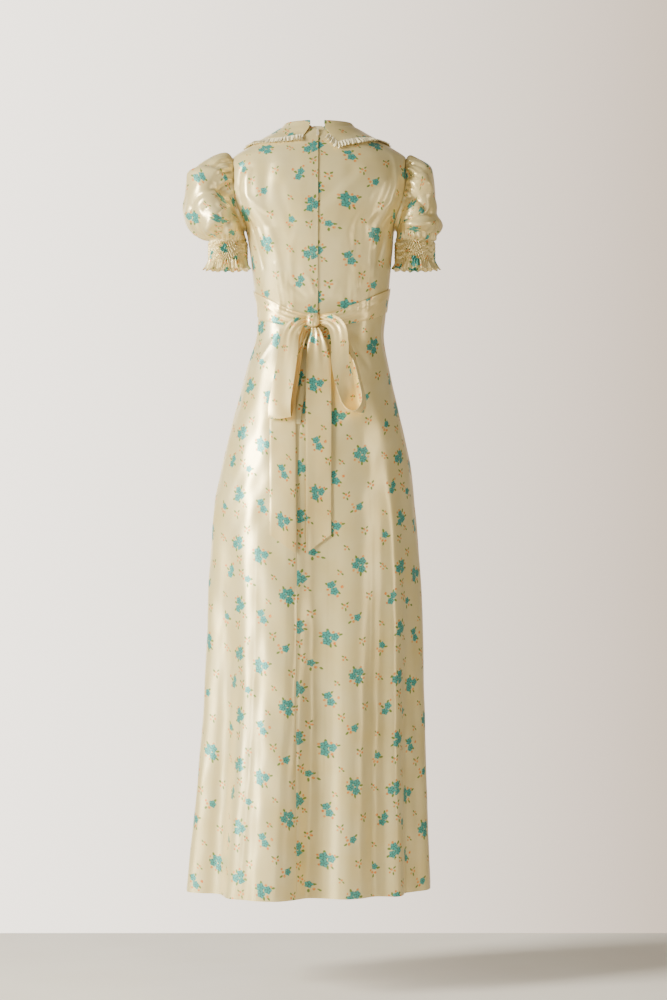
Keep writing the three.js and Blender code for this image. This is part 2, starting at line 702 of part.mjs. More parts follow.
// A skirt panel between two side angles.
function skirtGrid(fromAngle, toAngle, columns) {
  return SKIRT_ROWS.map((t) =>
    range(columns).map((u) => {
      const flatZ = mix(WAIST_Z - SEAM_GAP, HEM_Z, t);
      const z = skirtZ(t, mix(fromAngle(flatZ), toAngle(flatZ), u));
      const angle = mix(fromAngle(z), toAngle(z), u);
      return t === 0 ? onWaist(angle, z) : onSurface(angle, z);
    }),
  );
}

// Height of a row of the skirt at an angle. The upper rows dip at centre back as the waist seam does.
function skirtZ(t, angle) {
  const flatZ = mix(WAIST_Z - SEAM_GAP, HEM_Z, t);
  return flatZ + waistDip(angle, WAIST_Z) * (1 - ease((WAIST_Z - flatZ) / 260));
}

function skirtPanels() {
  const seam = (side) => (z) => seamAngle(z) + (side * backGap(z)) / body.half(z);
  const sideSeam = (side, back) => (z) => {
    const clear = SEAM_GAP / 2 / body.front(z);
    return side * (90 * DEGREE + (back ? -clear : clear));
  };
  return [
    wallSolid("skirt_back_left", [skirtGrid(seam(1), sideSeam(1, true), 18)], satin),
    wallSolid("skirt_back_right", [skirtGrid(seam(-1), sideSeam(-1, true), 18)], satin),
    wallSolid(
      "skirt_front",
      [skirtGrid(sideSeam(1, false), (z) => 2 * Math.PI + sideSeam(-1, false)(z), 30)],
      satin,
    ),
  ];
}

function bodicePanels() {
  return [
    wallSolid("bodice_front", [frontBodiceGrid(1), frontBodiceGrid(-1)], satin),
    wallSolid("bodice_back_left", [backBodiceGrid(1)], satin),
    wallSolid("bodice_back_right", [backBodiceGrid(-1)], satin),
  ];
}

// Where the worn surface is above a place in plan, as an angle and a height, for what lies round the neck.
function fromAbove(x, y) {
  let low = -170;
  let high = 0;
  let angle = 0;
  for (let i = 0; i < 40; i++) {
    const z = (low + high) / 2;
    const [px, py] = [(x - body.shift(z)) / body.half(z), y / (y > 0 ? body.back(z) : body.front(z))];
    const wanted = Math.atan2(px, py);
    const fuller = body.square(z);
    const across = (a) => (Math.sin(a) + fuller * Math.sin(3 * a)) / (1 - fuller);
    const deep = (a) => (Math.cos(a) - fuller * Math.cos(3 * a)) / (1 - fuller);
    angle = wanted;
    for (let k = 0; k < 3; k++) angle += wanted - Math.atan2(across(angle), deep(angle));
    if (Math.hypot(px, py) > Math.hypot(across(angle), deep(angle))) high = z;
    else low = z;
  }
  return { angle, z: (low + high) / 2 };
}

// The neck seam on one side, from centre back to centre front, by its length in plan.
function neckline(side) {
  const back = range(24).map((t) => surface(side * 90 * DEGREE * t, 0));
  const front = range(30)
    .slice(1)
    .map((t) => {
      const z = NECK_FRONT_Z * Math.sin((Math.PI / 2) * t);
      const x = NECK_HALF * Math.cos((Math.PI / 2) * t);
      return surface(side * (Math.PI - Math.asin(clamp01(x / body.half(z)))), z);
    });
  const line = new THREE.CatmullRomCurve3([...back, ...front]);
  line.arcLengthDivisions = 400;
  return (along) => {
    const place = line.getPointAt(clamp01(along));
    const ahead = line.getPointAt(Math.min(1, along + 0.01));
    const behind = line.getPointAt(Math.max(0, along - 0.01));
    const run = ahead.sub(behind).setZ(0).normalize();
    const out = new THREE.Vector3(run.y, -run.x, 0).multiplyScalar(-side);
    if (out.dot(place) < 0) out.negate();
    return { place, out };
  };
}

const collarReach = {
  left: smooth(COLLAR_REACH, "along", "left"),
  right: smooth(COLLAR_REACH, "along", "right"),
};
const COLLAR_FRONT_END = 0.985;
const COLLAR_FRONT_SLANT = 0.14; // how much sooner the collar's edge ends than its neck side

// A place on the collar's fall: a share of the way along the neck, and a distance out in plan.
function collarPoint(line, along, distance, lift, wall) {
  const { place, out } = line(along);
  const at = fromAbove(place.x + out.x * distance, place.y + out.y * distance);
  return onSurface(at.angle, at.z, lift, wall);
}

function collarAlong(name, u, w) {
  const [atNeck, atEdge] = COLLAR_BACK_END[name];
  const frontEnd = COLLAR_FRONT_END - COLLAR_FRONT_SLANT * w ** 1.5;
  return mix(mix(atNeck, atEdge, w), frontEnd, u);
}

// The distance in plan from the neckline to a share of the fall, 0 just past the roll and 1 at the edge.
const fallDistance = (name, along, w) => mix(COLLAR_ROLL, collarReach[name](along), w);

function collar(name, side) {
  const line = neckline(side);
  const columns = range(COLLAR_COLUMNS);
  const stand = COLLAR_STAND.map((row) =>
    columns.map((u) => {
      const { place, out } = line(collarAlong(name, u, 0));
      const turn = row.facing * DEGREE;
      const normal = out.clone().multiplyScalar(Math.cos(turn)).addScaledVector(UP, Math.sin(turn));
      return cloth(place.clone().addScaledVector(out, row.out).addScaledVector(UP, row.up), normal);
    }),
  );
  const fall = [0, 0.3, 0.65, 1].map((w) =>
    columns.map((u) => {
      const along = collarAlong(name, u, w);
      const lift = mix(COLLAR_ROLL_LIFT, COLLAR_LIFT, ease(w * 1.5));
      return collarPoint(line, along, fallDistance(name, along, w), lift, CLOTH);
    }),
  );
  return wallSolid(`collar_${name}`, [[...stand, ...fall]], satin);
}

// Points at an even spacing along a plan polyline, with the outward direction on the given side of it.
function spaced(points, spacing, outwardOf) {
  const line = new THREE.CurvePath();
  for (let i = 0; i + 1 < points.length; i++) line.add(new THREE.LineCurve(points[i], points[i + 1]));
  const count = Math.max(2, Math.round(line.getLength() / spacing));
  return range(count).map((t) => {
    const run = line.getPointAt(Math.min(0.999, t + 0.01)).sub(line.getPointAt(Math.max(0, t - 0.01)));
    const out = new THREE.Vector2(run.y, -run.x).normalize();
    return { point: line.getPointAt(t), out: out.multiplyScalar(outwardOf) };
  });
}

// The gathered trim sewn round the collar's edge, as a zigzag of small gathers. The right half's also
// runs up its back end.
function collarRuffle(name, side) {
  const line = neckline(side);
  const planAt = (u, w) => {
    const along = collarAlong(name, u, w);
    const { place, out } = line(along);
    const distance = fallDistance(name, along, w);
    return new THREE.Vector2(place.x + out.x * distance, place.y + out.y * distance);
  };
  const endShares = (from) => range(4).map((t) => mix(from, 1, t));
  const backEnd = endShares(RUFFLE.backFrom).map((w) => planAt(0, w));
  const edge = range(COLLAR_COLUMNS).map((u) => planAt(u, 1));
  const frontEnd = endShares(RUFFLE.frontFrom).map((w) => planAt(1, w)).reverse();
  const stretches = [...(name === "right" ? [backEnd] : []), edge, frontEnd];
  const outwardOf = side > 0 ? -1 : 1;
  const samples = [];
  for (const stretch of stretches) {
    const next = spaced(stretch, RUFFLE.pitch / 2, outwardOf);
    const last = samples[samples.length - 1];
    if (last) {
      // Gathers fan out round the corner between two stretches.
      const turn = last.out.angle() - next[0].out.angle();
      const swing = Math.atan2(Math.sin(turn), Math.cos(turn));
      for (const t of [0.25, 0.5, 0.75]) {
        const out = last.out.clone().rotateAround(new THREE.Vector2(), -swing * t);
        samples.push({ point: last.point, out });
      }
    }
    samples.push(...next);
  }
  const rows = [0, 1].map((w) =>
    samples.map(({ point, out }, i) => {
      const edgePlace = fromAbove(point.x, point.y);
      const normal = normalAt(edgePlace.angle, edgePlace.z);
      const slope = (normal.x * out.x + normal.y * out.y) / normal.z;
      const distance = SEAM_GAP + (RUFFLE.width * w) / Math.hypot(1, slope);
      const at = fromAbove(point.x + out.x * distance, point.y + out.y * distance);
      const wave = (i % 2 === 0 ? RUFFLE.rise : -RUFFLE.rise) * w;
      return onSurface(at.angle, at.z, mix(COLLAR_LIFT, RUFFLE.lift, w) + wave, TRIM);
    }),
  );
  return wallSolid(`collar_ruffle_${name}`, [rows], trimCloth);
}

// The angle on the worn surface at which it passes a sideways place at a height.
function angleAt(x, z) {
  let low = -89 * DEGREE;
  let high = 89 * DEGREE;
  for (let i = 0; i < 40; i++) {
    const middle = (low + high) / 2;
    if (surface(middle, z).x < x) low = middle;
    else high = middle;
  }
  return (low + high) / 2;
}

// A tie's band across the back waist, from the side seam to under the knot.
function tieBand(name, side) {
  const rows = TIES[name];
  const middleZ = smooth(rows, "along", "z");
  const width = smooth(rows, "along", "width");
  const knotAngle = angleAt(KNOT.x + side * 4, KNOT.z);
  const grid = range(16).map((t) =>
    [-0.5, 0, 0.5].map((w) => {
      const z = middleZ(t) + w * width(t);
      return onSurface(mix(side * 88 * DEGREE, knotAngle, t), z, 2.8 + 1.4 * t, CLOTH);
    }),
  );
  return wallSolid(`tie_${name}`, [grid], satin);
}

// A strip of cloth along a smooth line. Each row gives its middle, its width and its across direction.
function strip(name, centres, acrosses, columns = [-0.5, 0, 0.5]) {
  const grid = centres.map((centre, i) => {
    const before = centres[Math.max(0, i - 1)];
    const after = centres[Math.min(centres.length - 1, i + 1)];
    const normal = acrosses[i].clone().cross(after.clone().sub(before)).normalize();
    return columns.map((w) => {
      const place = centre.clone().addScaledVector(acrosses[i], w);
      return {
        outer: place.clone().addScaledVector(normal, CLOTH / 2),
        inner: place.clone().addScaledVector(normal, -CLOTH / 2),
      };
    });
  });
  return wallSolid(name, [grid], satin);
}

function bowLoop(name) {
  const rows = LOOPS[name];
  const steps = range(28);
  const places = rows.map(({ x, z, out }) => surface(angleAt(x, z), z).add(new THREE.Vector3(0, out, 0)));
  const line = new THREE.CatmullRomCurve3(places);
  const column = (key) => new THREE.CatmullRomCurve3(rows.map((row) => new THREE.Vector3(row[key], 0, 0)));
  const [widths, turns, tilts] = ["width", "turn", "tilt"].map(column);
  const acrosses = steps.map((t) => {
    const turn = turns.getPoint(t).x * DEGREE;
    const tilt = tilts.getPoint(t).x * DEGREE;
    const level = Math.cos(tilt);
    const across = new THREE.Vector3(level * Math.cos(turn), level * Math.sin(turn), Math.sin(tilt));
    return across.multiplyScalar(widths.getPoint(t).x);
  });
  return strip(`bow_loop_${name}`, steps.map((t) => line.getPoint(t)), acrosses);
}

// A hanging tie end, on the skirt, cut at a slant that leaves its inner corner longer.
function tieTail(name, side) {
  const rows = TAILS[name];
  const [x, width, lift] = ["x", "width", "lift"].map((key) => smooth(rows, "z", key));
  const [topZ, endZ] = [rows[0].z, rows[rows.length - 1].z];
  const grid = range(14).map((t) =>
    [-0.5, -0.25, 0, 0.25, 0.5].map((w) => {
      const inward = clamp01(0.5 - side * w);
      const z = mix(topZ, endZ - TAIL_POINT * inward, t);
      return onSurface(angleAt(x(z) + w * width(z), z), z, lift(z), CLOTH);
    }),
  );
  return wallSolid(`tie_tail_${name}`, [grid], satin);
}

// The knot, a rounded lump with soft wraps round it.
function knot() {
  const geometry = new THREE.SphereGeometry(1, 16, 10);
  const places = geometry.getAttribute("position");
  for (let i = 0; i < places.count; i++) {
    const [x, y, z] = [places.getX(i), places.getY(i), places.getZ(i)];
    const wrap = 1 + 0.05 * Math.cos(9 * x);
    places.setXYZ(i, x * KNOT.halfWidth, z * KNOT.halfDepth * wrap, -y * KNOT.halfHeight * wrap);
  }
  geometry.computeVertexNormals();
  const mesh = new THREE.Mesh(geometry, satin);
  mesh.name = "bow_knot";
  const tieTop = surface(angleAt(KNOT.x, KNOT.z), KNOT.z).y + 3;
  mesh.position.set(KNOT.x, tieTop + KNOT.halfDepth * 1.05 + SEAM_GAP, KNOT.z);
  return mesh;
}

// Heights of the panels' rows along centre back, which the zip's long strips share.
const CENTRE_ROWS = [
  ...OUTER_ROWS.map((z) => z + waistDip(0, z)).reverse(),
  ...SKIRT_ROWS.map((t) => skirtZ(t, 0)),
];

// A long strip down the centre back line, between two sideways offsets, moved out by a lift.
function zipStrip(name, { from, to, fromX, toX, lift, wall }, surfaceMaterial) {
  const rows = CENTRE_ROWS.filter((z) => z < from && z >= to);
  const grid = rows.map((z) =>
    [fromX, toX].map((x) => onSurface(seamAngle(z) + x / body.half(z), z, lift, wall)),
  );
  return wallSolid(name, [grid], surfaceMaterial);
}

// The slider and its pull tab, in a frame with X across the zip, Y out of the cloth and Z up the zip.
function zipHead() {
  const group = new THREE.Group();
  const top = surface(seamAngle(ZIP_TOP_Z), ZIP_TOP_Z);
  const below = surface(seamAngle(ZIP_TOP_Z - 18), ZIP_TOP_Z - 18);
  group.position.copy(top);
  group.rotation.x = Math.atan2(below.y - top.y, top.z - below.z);

  // Side view of the slider: down the zip, and out from the cloth.
  const side = new THREE.Shape();
  const { length, floor, deck, top: archTop, legStart, leg, archEnd, archSlope } = SLIDER;
  side.moveTo(0, floor);
  side.lineTo(length, floor);
  side.lineTo(length, deck);
  side.lineTo(archEnd, deck);
  side.lineTo(archEnd - archSlope, archTop);
  side.lineTo(legStart + archSlope, archTop);
  side.lineTo(legStart, deck);
  side.lineTo(0, deck);
  side.closePath();
  const opening = new THREE.Path();
  opening.moveTo(legStart + leg, deck + SLIDER.step);
  opening.lineTo(legStart + leg, archTop - SLIDER.bar);
  opening.lineTo(archEnd - leg, archTop - SLIDER.bar);
  opening.lineTo(archEnd - leg, deck + SLIDER.step);
  opening.closePath();
  side.holes.push(opening);
  const sliderGeometry = new THREE.ExtrudeGeometry(side, { depth: SLIDER.width, bevelEnabled: false });
  // Extrusion runs along Z; turn it so that it runs across the zip.
  const turned = new THREE.Matrix4().makeBasis(
    new THREE.Vector3(0, 0, -1),
    new THREE.Vector3(0, 1, 0),
    new THREE.Vector3(1, 0, 0),
  );
  sliderGeometry.applyMatrix4(turned);
  sliderGeometry.translate(-SLIDER.width / 2, 0, 0);
  const slider = new THREE.Mesh(sliderGeometry, zipMetal);
  slider.name = "zip_slider";

  const half = TAB.width / 2;
  const tabShape = new THREE.Shape();
  tabShape.moveTo(-half, SLIDER.bar / 2);
  tabShape.lineTo(-half, -TAB.length + TAB.round);
  tabShape.quadraticCurveTo(-half, -TAB.length, 0, -TAB.length);
  tabShape.quadraticCurveTo(half, -TAB.length, half, -TAB.length + TAB.round);
  tabShape.lineTo(half, SLIDER.bar / 2);
  tabShape.closePath();
  const hole = new THREE.Path();
  const holeHalf = half - TAB.sideBar;
  hole.moveTo(-holeHalf, -SLIDER.bar / 2);
  hole.lineTo(-holeHalf, -TAB.holeEnd);
  hole.lineTo(holeHalf, -TAB.holeEnd);
  hole.lineTo(holeHalf, -SLIDER.bar / 2);
  hole.closePath();
  tabShape.holes.push(hole);
  const tabGeometry = new THREE.ExtrudeGeometry(tabShape, {
    depth: TAB.thick,
    bevelEnabled: false,
    curveSegments: 4,
  });
  tabGeometry.rotateX(Math.PI / 2);
  tabGeometry.translate(0, TAB.hinge.out + TAB.thick / 2, -TAB.hinge.along);
  const tab = new THREE.Mesh(tabGeometry, zipMetal);
  tab.name = "zip_pull_tab";
  group.add(slider, tab);
  return group;
}

const dress = new THREE.Group();
dress.add(
  ...bodicePanels(),
  ...skirtPanels(),
  ...sleeve("left"),
  ...sleeve("right"),
  collar("left", 1),
  collar("right", -1),
  collarRuffle("left", 1),
  collarRuffle("right", -1),
  tieBand("left", 1),
  tieBand("right", -1),
  knot(),
  bowLoop("left"),
  bowLoop("right"),
  tieTail("left", 1),
  tieTail("right", -1),
  zipStrip("zip_tape", ZIP_TAPE, zipCloth),
  zipStrip("zip_coil", ZIP_COIL, zipMetal),
  zipStrip("zip_placket", ZIP_PLACKET, satin),
  zipHead(),
);

export default dress;
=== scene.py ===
# A worn maxi dress in printed satin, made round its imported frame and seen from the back.
# Shapes are worked out in millimetres, in the frame's own axes: +Z up, the wearer's left is +X.
import math

import bmesh
import bpy
import numpy as np
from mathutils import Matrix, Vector


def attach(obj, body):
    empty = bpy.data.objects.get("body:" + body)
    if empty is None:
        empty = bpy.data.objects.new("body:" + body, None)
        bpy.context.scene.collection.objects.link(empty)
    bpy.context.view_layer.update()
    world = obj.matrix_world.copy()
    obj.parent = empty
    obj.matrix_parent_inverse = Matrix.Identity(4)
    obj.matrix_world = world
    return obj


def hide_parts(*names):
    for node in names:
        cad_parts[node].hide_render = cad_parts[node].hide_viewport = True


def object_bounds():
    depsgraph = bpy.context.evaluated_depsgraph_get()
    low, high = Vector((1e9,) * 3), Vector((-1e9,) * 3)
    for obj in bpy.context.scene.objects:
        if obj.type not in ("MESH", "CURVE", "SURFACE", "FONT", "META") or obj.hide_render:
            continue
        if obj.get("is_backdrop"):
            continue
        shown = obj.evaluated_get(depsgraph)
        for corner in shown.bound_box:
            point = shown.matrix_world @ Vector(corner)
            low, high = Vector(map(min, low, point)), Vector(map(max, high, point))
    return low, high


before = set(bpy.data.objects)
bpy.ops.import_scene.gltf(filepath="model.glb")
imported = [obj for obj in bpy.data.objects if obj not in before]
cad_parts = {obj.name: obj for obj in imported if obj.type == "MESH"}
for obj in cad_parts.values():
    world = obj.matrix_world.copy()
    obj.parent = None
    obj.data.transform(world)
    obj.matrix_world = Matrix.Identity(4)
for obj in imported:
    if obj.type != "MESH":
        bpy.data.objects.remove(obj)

cad_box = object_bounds()

MM = 0.001
DEGREE = math.pi / 180

# Cloth and seams
CLOTH = 0.9  # wall of a panel
SEAM_GAP = 0.3  # between pieces that are sewn together
SEAM_DIP = {"depth": 0.7, "reach": 3.0}  # how far cloth sinks beside a seam
ZIP_GAP = 1.3  # from the centre back line to each panel's edge

# Heights
SHOULDER_Z = -57
NECK_FRONT_Z = -78
ARMPIT_Z = -196
WAIST_Z = -340
WAIST_DIP = 16
HEM_Z = -1435
ZIP_END_Z = -563

# Neck and armholes
NECK_HALF = 60
NECK_NOTCH = {"drop": 9, "half": 13, "fade": 14}
ARMHOLE_CUT = {"back": 25 * DEGREE, "front": 33 * DEGREE, "roundness": 2.5}


def columns(names, rows):
    """A table with named columns, each an array."""
    return {name: np.array(values, float) for name, values in zip(names.split(), zip(*rows))}


# Level sections of the worn dress. half: half width. back, front: depths from the shoulder plane.
# shift: sideways place of the middle. seam: X of the centre back seam. square: fuller than an ellipse.
SECTIONS = columns("z half back front shift seam square", [
    (0, 60, 46, 34, -1, 0, 0),
    (-15, 90, 58, 38, -2, 0, 0.01),
    (-45, 147, 78, 46, -3, 0, 0.02),
    (-57, 163, 84, 51, -3, 0, 0.02),
    (-78, 171, 93, 61, -3, 0, 0.025),
    (-110, 174, 101, 82, -3, 0, 0.03),
    (-150, 165, 106, 105, -2, 0, 0.03),
    (-196, 140, 104, 121, -4, 0, 0.03),
    (-235, 135, 98, 127, -6, 0, 0.03),
    (-306, 127, 83, 104, -7, 0, 0.03),
    (-340, 121, 76, 93, -8, 0, 0.03),
    (-382, 120, 77, 92, -5, 2, 0.03),
    (-457, 135, 96, 102, 0, 14, 0.03),
    (-571, 163, 124, 120, 2, 30, 0.03),
    (-646, 180, 130, 128, 4, 34, 0.02),
    (-722, 191, 133, 134, 7, 35, 0.02),
    (-900, 202, 139, 144, 7, 36, 0.01),
    (-1100, 206, 145, 152, 10, 38, 0),
    (-1435, 223, 157, 164, 21, 38, 0),
])

# Hanging folds of the skirt: angle from centre back towards the wearer's left, rise at the hem,
# spread to the left and right in degrees, and the height where the fold starts.
SKIRT_FOLDS = [
    (15, 34, 34, 11, -480),
    (-1, -24, 7, 15, -470),
    (-19, 14, 13, 12, -620),
    (-36, -12, 10, 8, -560),
    (-46, 17, 6, 7, -520),
    (-60, -9, 8, 9, -640),
    (-80, 10, 10, 12, -700),
    (50, -26, 13, 10, -600),
    (69, 14, 12, 9, -640),
    (92, -13, 12, 12, -560),
    (116, 20, 15, 14, -500),
    (142, -15, 13, 13, -520),
    (166, 17, 14, 15, -460),
    (190, -15, 12, 12, -480),
    (214, 19, 15, 14, -500),
    (240, -15, 13, 12, -560),
    (262, 9, 10, 9, -640),
]
# Narrow folds that ride on the large ones.
SMALL_SKIRT_FOLDS = [
    (4, 3.0, 3, 4, -600),
    (27, -3.2, 4, 3, -700),
    (36, 3.0, 4, 4, -640),
    (-11, -2.6, 3, 3, -680),
    (-27, 2.6, 3, 4, -800),
    (-53, 2.4, 3, 3, -720),
    (-70, -2.8, 4, 4, -700),
    (60, 2.6, 4, 3, -760),
    (80, 2.6, 4, 4, -820),
    (104, -3.0, 5, 4, -700),
    (129, 3.0, 4, 5, -760),
    (155, -3.0, 5, 4, -640),
    (178, 2.8, 4, 4, -720),
    (202, 3.0, 4, 4, -700),
    (227, -3.0, 4, 5, -760),
    (251, 2.6, 4, 4, -820),
]

# Drag folds of the bodice, from one (angle, height) to another, with rise and half width.
BODICE_FOLDS = [
    (-52, -95, -36, -265, 2.4, 12),
    (-62, -120, -52, -262, -2, 11),
    (50, -100, 42, -225, 2.2, 11),
    (34, -75, 27, -215, -1.6, 13),
    (152, -232, 150, -330, -2.5, 9),
    (208, -232, 210, -330, -2.5, 9),
]
# Finer folds anywhere on the dress, in the same form.
FINE_FOLDS = [
    (-64, -150, -44, -235, 1.5, 5),
    (-66, -168, -50, -262, -1.3, 5),
    (-60, -128, -30, -190, 1.2, 6),
    (-40, -110, -26, -300, 1.0, 7),
    (-28, -150, -20, -320, -1.0, 7),
    (-14, -60, -11, -190, 0.8, 8),
    (60, -150, 46, -240, 1.6, 5),
    (64, -172, 52, -268, -1.4, 5),
    (56, -120, 34, -170, 1.2, 6),
    (38, -200, 30, -312, 1.2, 7),
    (22, -120, 17, -300, -0.9, 8),
    (10, -70, 9, -180, 0.7, 8),
    (-54, -62, -44, -284, 1.5, 6),
    (-49, -75, -40, -200, -1.2, 6),
    (-27, -87, -4, -165, 1.3, 9),
    (-20, -90, 0, -150, -0.9, 8),
    (-34, -120, -14, -230, 1.0, 8),
    (54, -81, 61, -198, -1.6, 6),
    (46, -90, 52, -210, 1.3, 6),
    (30, -70, 36, -190, -0.9, 8),
    (18, -210, 30, -330, 0.9, 6),
    (-20, -215, -30, -330, 0.9, 6),
    (24, -350, 22, -268, 0.8, 3),
    (30, -350, 29, -282, -0.8, 3),
    (37, -348, 37, -264, 0.9, 4),
    (-24, -350, -22, -282, 0.8, 3),
    (-31, -350, -31, -272, -0.8, 3),
    (-40, -346, -40, -260, 0.9, 4),
    (-8, -318, -12, -300, 1.0, 4),
    (6, -316, 9, -290, 1.1, 4),
    (14, -322, 24, -300, -1.0, 4),
    (-16, -326, -30, -306, 1.0, 4),
    (-6, -395, -14, -450, 1.2, 6),
    (16, -400, 30, -470, 1.3, 7),
    (-24, -392, -40, -450, -1.0, 7),
    (36, -392, 54, -440, 1.1, 7),
    (-70, -352, -62, -420, 1.1, 7),
    (72, -352, 66, -420, -1.1, 7),
]
FINE_FOLD_DEPTH = 0.95  # how much deeper the finer folds lie than listed
AROUND = 2.2  # millimetres of cloth for each degree round the bodice
FOLD_TABLE_FROM = -95  # the tables of drag folds count degrees upwards from here

# Gentle unevenness of hanging satin: how many waves are added up, their lengths and their height.
RIPPLE = {"waves": 14, "shortest": 34, "longest": 125, "height": 0.85, "stretch": 1.7, "girth": 1000,
          "on_bodice": 0.45, "grows_over": 300, "neck_fade": 60}
BODY_SEED, SLEEVE_SEED = 7, 11


def smooth(xs, ys):
    """A smooth function through points that keeps their rises and falls."""
    order = np.argsort(xs)
    xs, ys = np.asarray(xs, float)[order], np.asarray(ys, float)[order]
    slopes = np.diff(ys) / np.diff(xs)
    before = np.concatenate([slopes[:1], slopes])
    after = np.concatenate([slopes, slopes[-1:]])
    rising = before * after > 0
    tangents = np.where(rising, 2 * before * after / np.where(rising, before + after, 1), 0)

    def at(x):
        x = np.clip(x, xs[0], xs[-1])
        i = np.clip(np.searchsorted(xs, x, side="right") - 1, 0, len(xs) - 2)
        span = xs[i + 1] - xs[i]
        t = (x - xs[i]) / span
        rest = 1 - t
        ends = (1 + 2 * t) * rest**2 * ys[i] + t * t * (3 - 2 * t) * ys[i + 1]
        return ends + t * rest * span * (rest * tangents[i] - t * tangents[i + 1])

    return at


BODY = {name: smooth(SECTIONS["z"], values) for name, values in SECTIONS.items() if name != "z"}


def curve_rows(values, t):
    """A smooth run through evenly counted values."""
    last = len(values) - 1
    at = t * last
    i = np.clip(at.astype(int), 0, last - 1)
    f = (at - i).reshape(-1, *[1] * (values.ndim - 1))
    a, b, c, d = (values[np.clip(i + k, 0, last)] for k in (-1, 0, 1, 2))
    return 0.5 * (2 * b + (c - a) * f + (2 * a - 5 * b + 4 * c - d) * f**2 + (3 * b - a - 3 * c + d) * f**3)


def mix(a, b, t):
    return a + (b - a) * t


def clamp01(t):
    return np.clip(t, 0, 1)


def ease(t):
    t = clamp01(t)
    return t * t * (3 - 2 * t)


def bell(off):
    """1 at zero, falling smoothly to nothing on both sides."""
    return np.exp(-(off**2))


def shares(count):
    return np.linspace(0, 1, count + 1)


def unit(vectors):
    return vectors / np.maximum(np.linalg.norm(vectors, axis=-1, keepdims=True), 1e-9)


def xyz(x, y, z):
    return np.stack(np.broadcast_arrays(x, y, z), -1).astype(float)


def turned(angle):
    """Degrees from -180 to 180."""
    return (np.asarray(angle) / DEGREE + 180) % 360 - 180


def line_distance(px, py, ax, ay, bx, by):
    """Distance from points to a straight line between two points."""
    dx, dy = bx - ax, by - ay
    t = clamp01(((px - ax) * dx + (py - ay) * dy) / (dx * dx + dy * dy))
    return np.hypot(px - ax - t * dx, py - ay - t * dy)


def hanging_folds(angle, z, folds):
    """How far hanging folds lift the skirt, in crests and troughs that grow towards the hem."""
    total = np.zeros(np.broadcast(angle, z).shape)
    for at, rise, to_left, to_right, start in folds:
        off = (turned(angle) - at + 180) % 360 - 180
        spread = np.where(off > 0, to_left, to_right)
        share = (start - z) / (start - HEM_Z)
        grown = 0.5 * ease(share) + 0.5 * clamp01(share)
        total += rise * grown * bell(off / spread) * (np.abs(off) < 2 * spread)
    return total


def drag_folds(angle, z, folds):
    """How far folds that run from one place to another lift the cloth."""
    around = turned(angle)
    around = np.where(around < FOLD_TABLE_FROM, around + 360, around) * AROUND
    total = np.zeros(np.broadcast(angle, z).shape)
    for at, at_z, to, to_z, rise, reach in folds:
        off = line_distance(around, z, at * AROUND, at_z, to * AROUND, to_z)
        total += rise * bell(off / reach)
    return total


def ripple(angle, v, seed, height=RIPPLE["height"], girth=RIPPLE["girth"]):
    """Gentle waves in many directions that close up round the dress, longer down the cloth than across."""
    random = np.random.default_rng(seed)
    total = np.zeros(np.broadcast(angle, v).shape)
    for _ in range(RIPPLE["waves"]):
        turns = random.integers(max(2, int(girth / RIPPLE["longest"])), int(girth / RIPPLE["shortest"]))
        length = girth / turns
        drop = random.uniform(-1, 1) / (RIPPLE["stretch"] * length)
        phase = random.uniform(0, 2 * math.pi)
        total += np.sin(turns * angle + 2 * math.pi * drop * v + phase) * length / RIPPLE["longest"]
    return total * height / math.sqrt(RIPPLE["waves"] / 2)


def section(angle, fuller):
    """Sideways and depth shares of a level section that is a little fuller than an ellipse."""
    across = (np.sin(angle) + fuller * np.sin(3 * angle)) / (1 - fuller)
    deep = (np.cos(angle) - fuller * np.cos(3 * angle)) / (1 - fuller)
    return across, deep


def surface(angle, z):
    """The worn dress's surface at an angle from centre back towards the left, and a height."""
    across, deep = section(angle, BODY["square"](z))
    depth = np.where(deep > 0, BODY["back"](z), BODY["front"](z))
    half = BODY["half"](z)
    out_x, out_y = across / half, deep / depth
    scale = np.hypot(out_x, out_y)
    bodice = drag_folds(angle, z, BODICE_FOLDS) * (z > WAIST_Z - WAIST_DIP) * (z <= SHOULDER_Z)
    skirt = hanging_folds(angle, z, SKIRT_FOLDS) + hanging_folds(angle, z, SMALL_SKIRT_FOLDS)
    fold = np.where(z > WAIST_Z, bodice, skirt) + FINE_FOLD_DEPTH * drag_folds(angle, z, FINE_FOLDS)
    grown = RIPPLE["on_bodice"] + (1 - RIPPLE["on_bodice"]) * ease((WAIST_Z - z) / RIPPLE["grows_over"])
    fold = fold + ripple(angle, z, BODY_SEED) * grown * ease(-z / RIPPLE["neck_fade"])
    x = BODY["shift"](z) + half * across + out_x / scale * fold
    return xyz(x, depth * deep + out_y / scale * fold, z)


NORMAL_STEP = 0.004  # the turn over which the surface's direction is taken


def normal_at(angle, z):
    """The outward normal of that surface."""
    around = surface(angle + NORMAL_STEP, z) - surface(angle - NORMAL_STEP, z)
    along = surface(angle, z + 1) - surface(angle, z - 1)
    return -unit(np.cross(around, along))


def seam_angle(z):
    return np.arcsin((BODY["seam"](z) - BODY["shift"](z)) / BODY["half"](z))


class Cloth:
    """A grid of cloth: its outer points, the direction that its outer face looks, and its wall."""

    def __init__(self, outer, normal, wall=CLOTH, inner=None):
        self.outer = outer
        self.inner = outer - normal * wall if inner is None else inner
        self.uv = None

    def lift(self, amount):
        normal = unit(self.outer - self.inner)
        amount = np.asarray(amount)[..., None]
        self.outer = self.outer + normal * amount
        self.inner = self.inner + normal * amount
        return self


def on_surface(angle, z, lift=0.0, wall=CLOTH):
    """Cloth at a lift above the worn surface, with its wall inside it."""
    angle, z = np.broadcast_arrays(np.asarray(angle, float), np.asarray(z, float))
    normal = normal_at(angle, z)
    return Cloth(surface(angle, z) + normal * np.asarray(lift)[..., None], normal, wall)


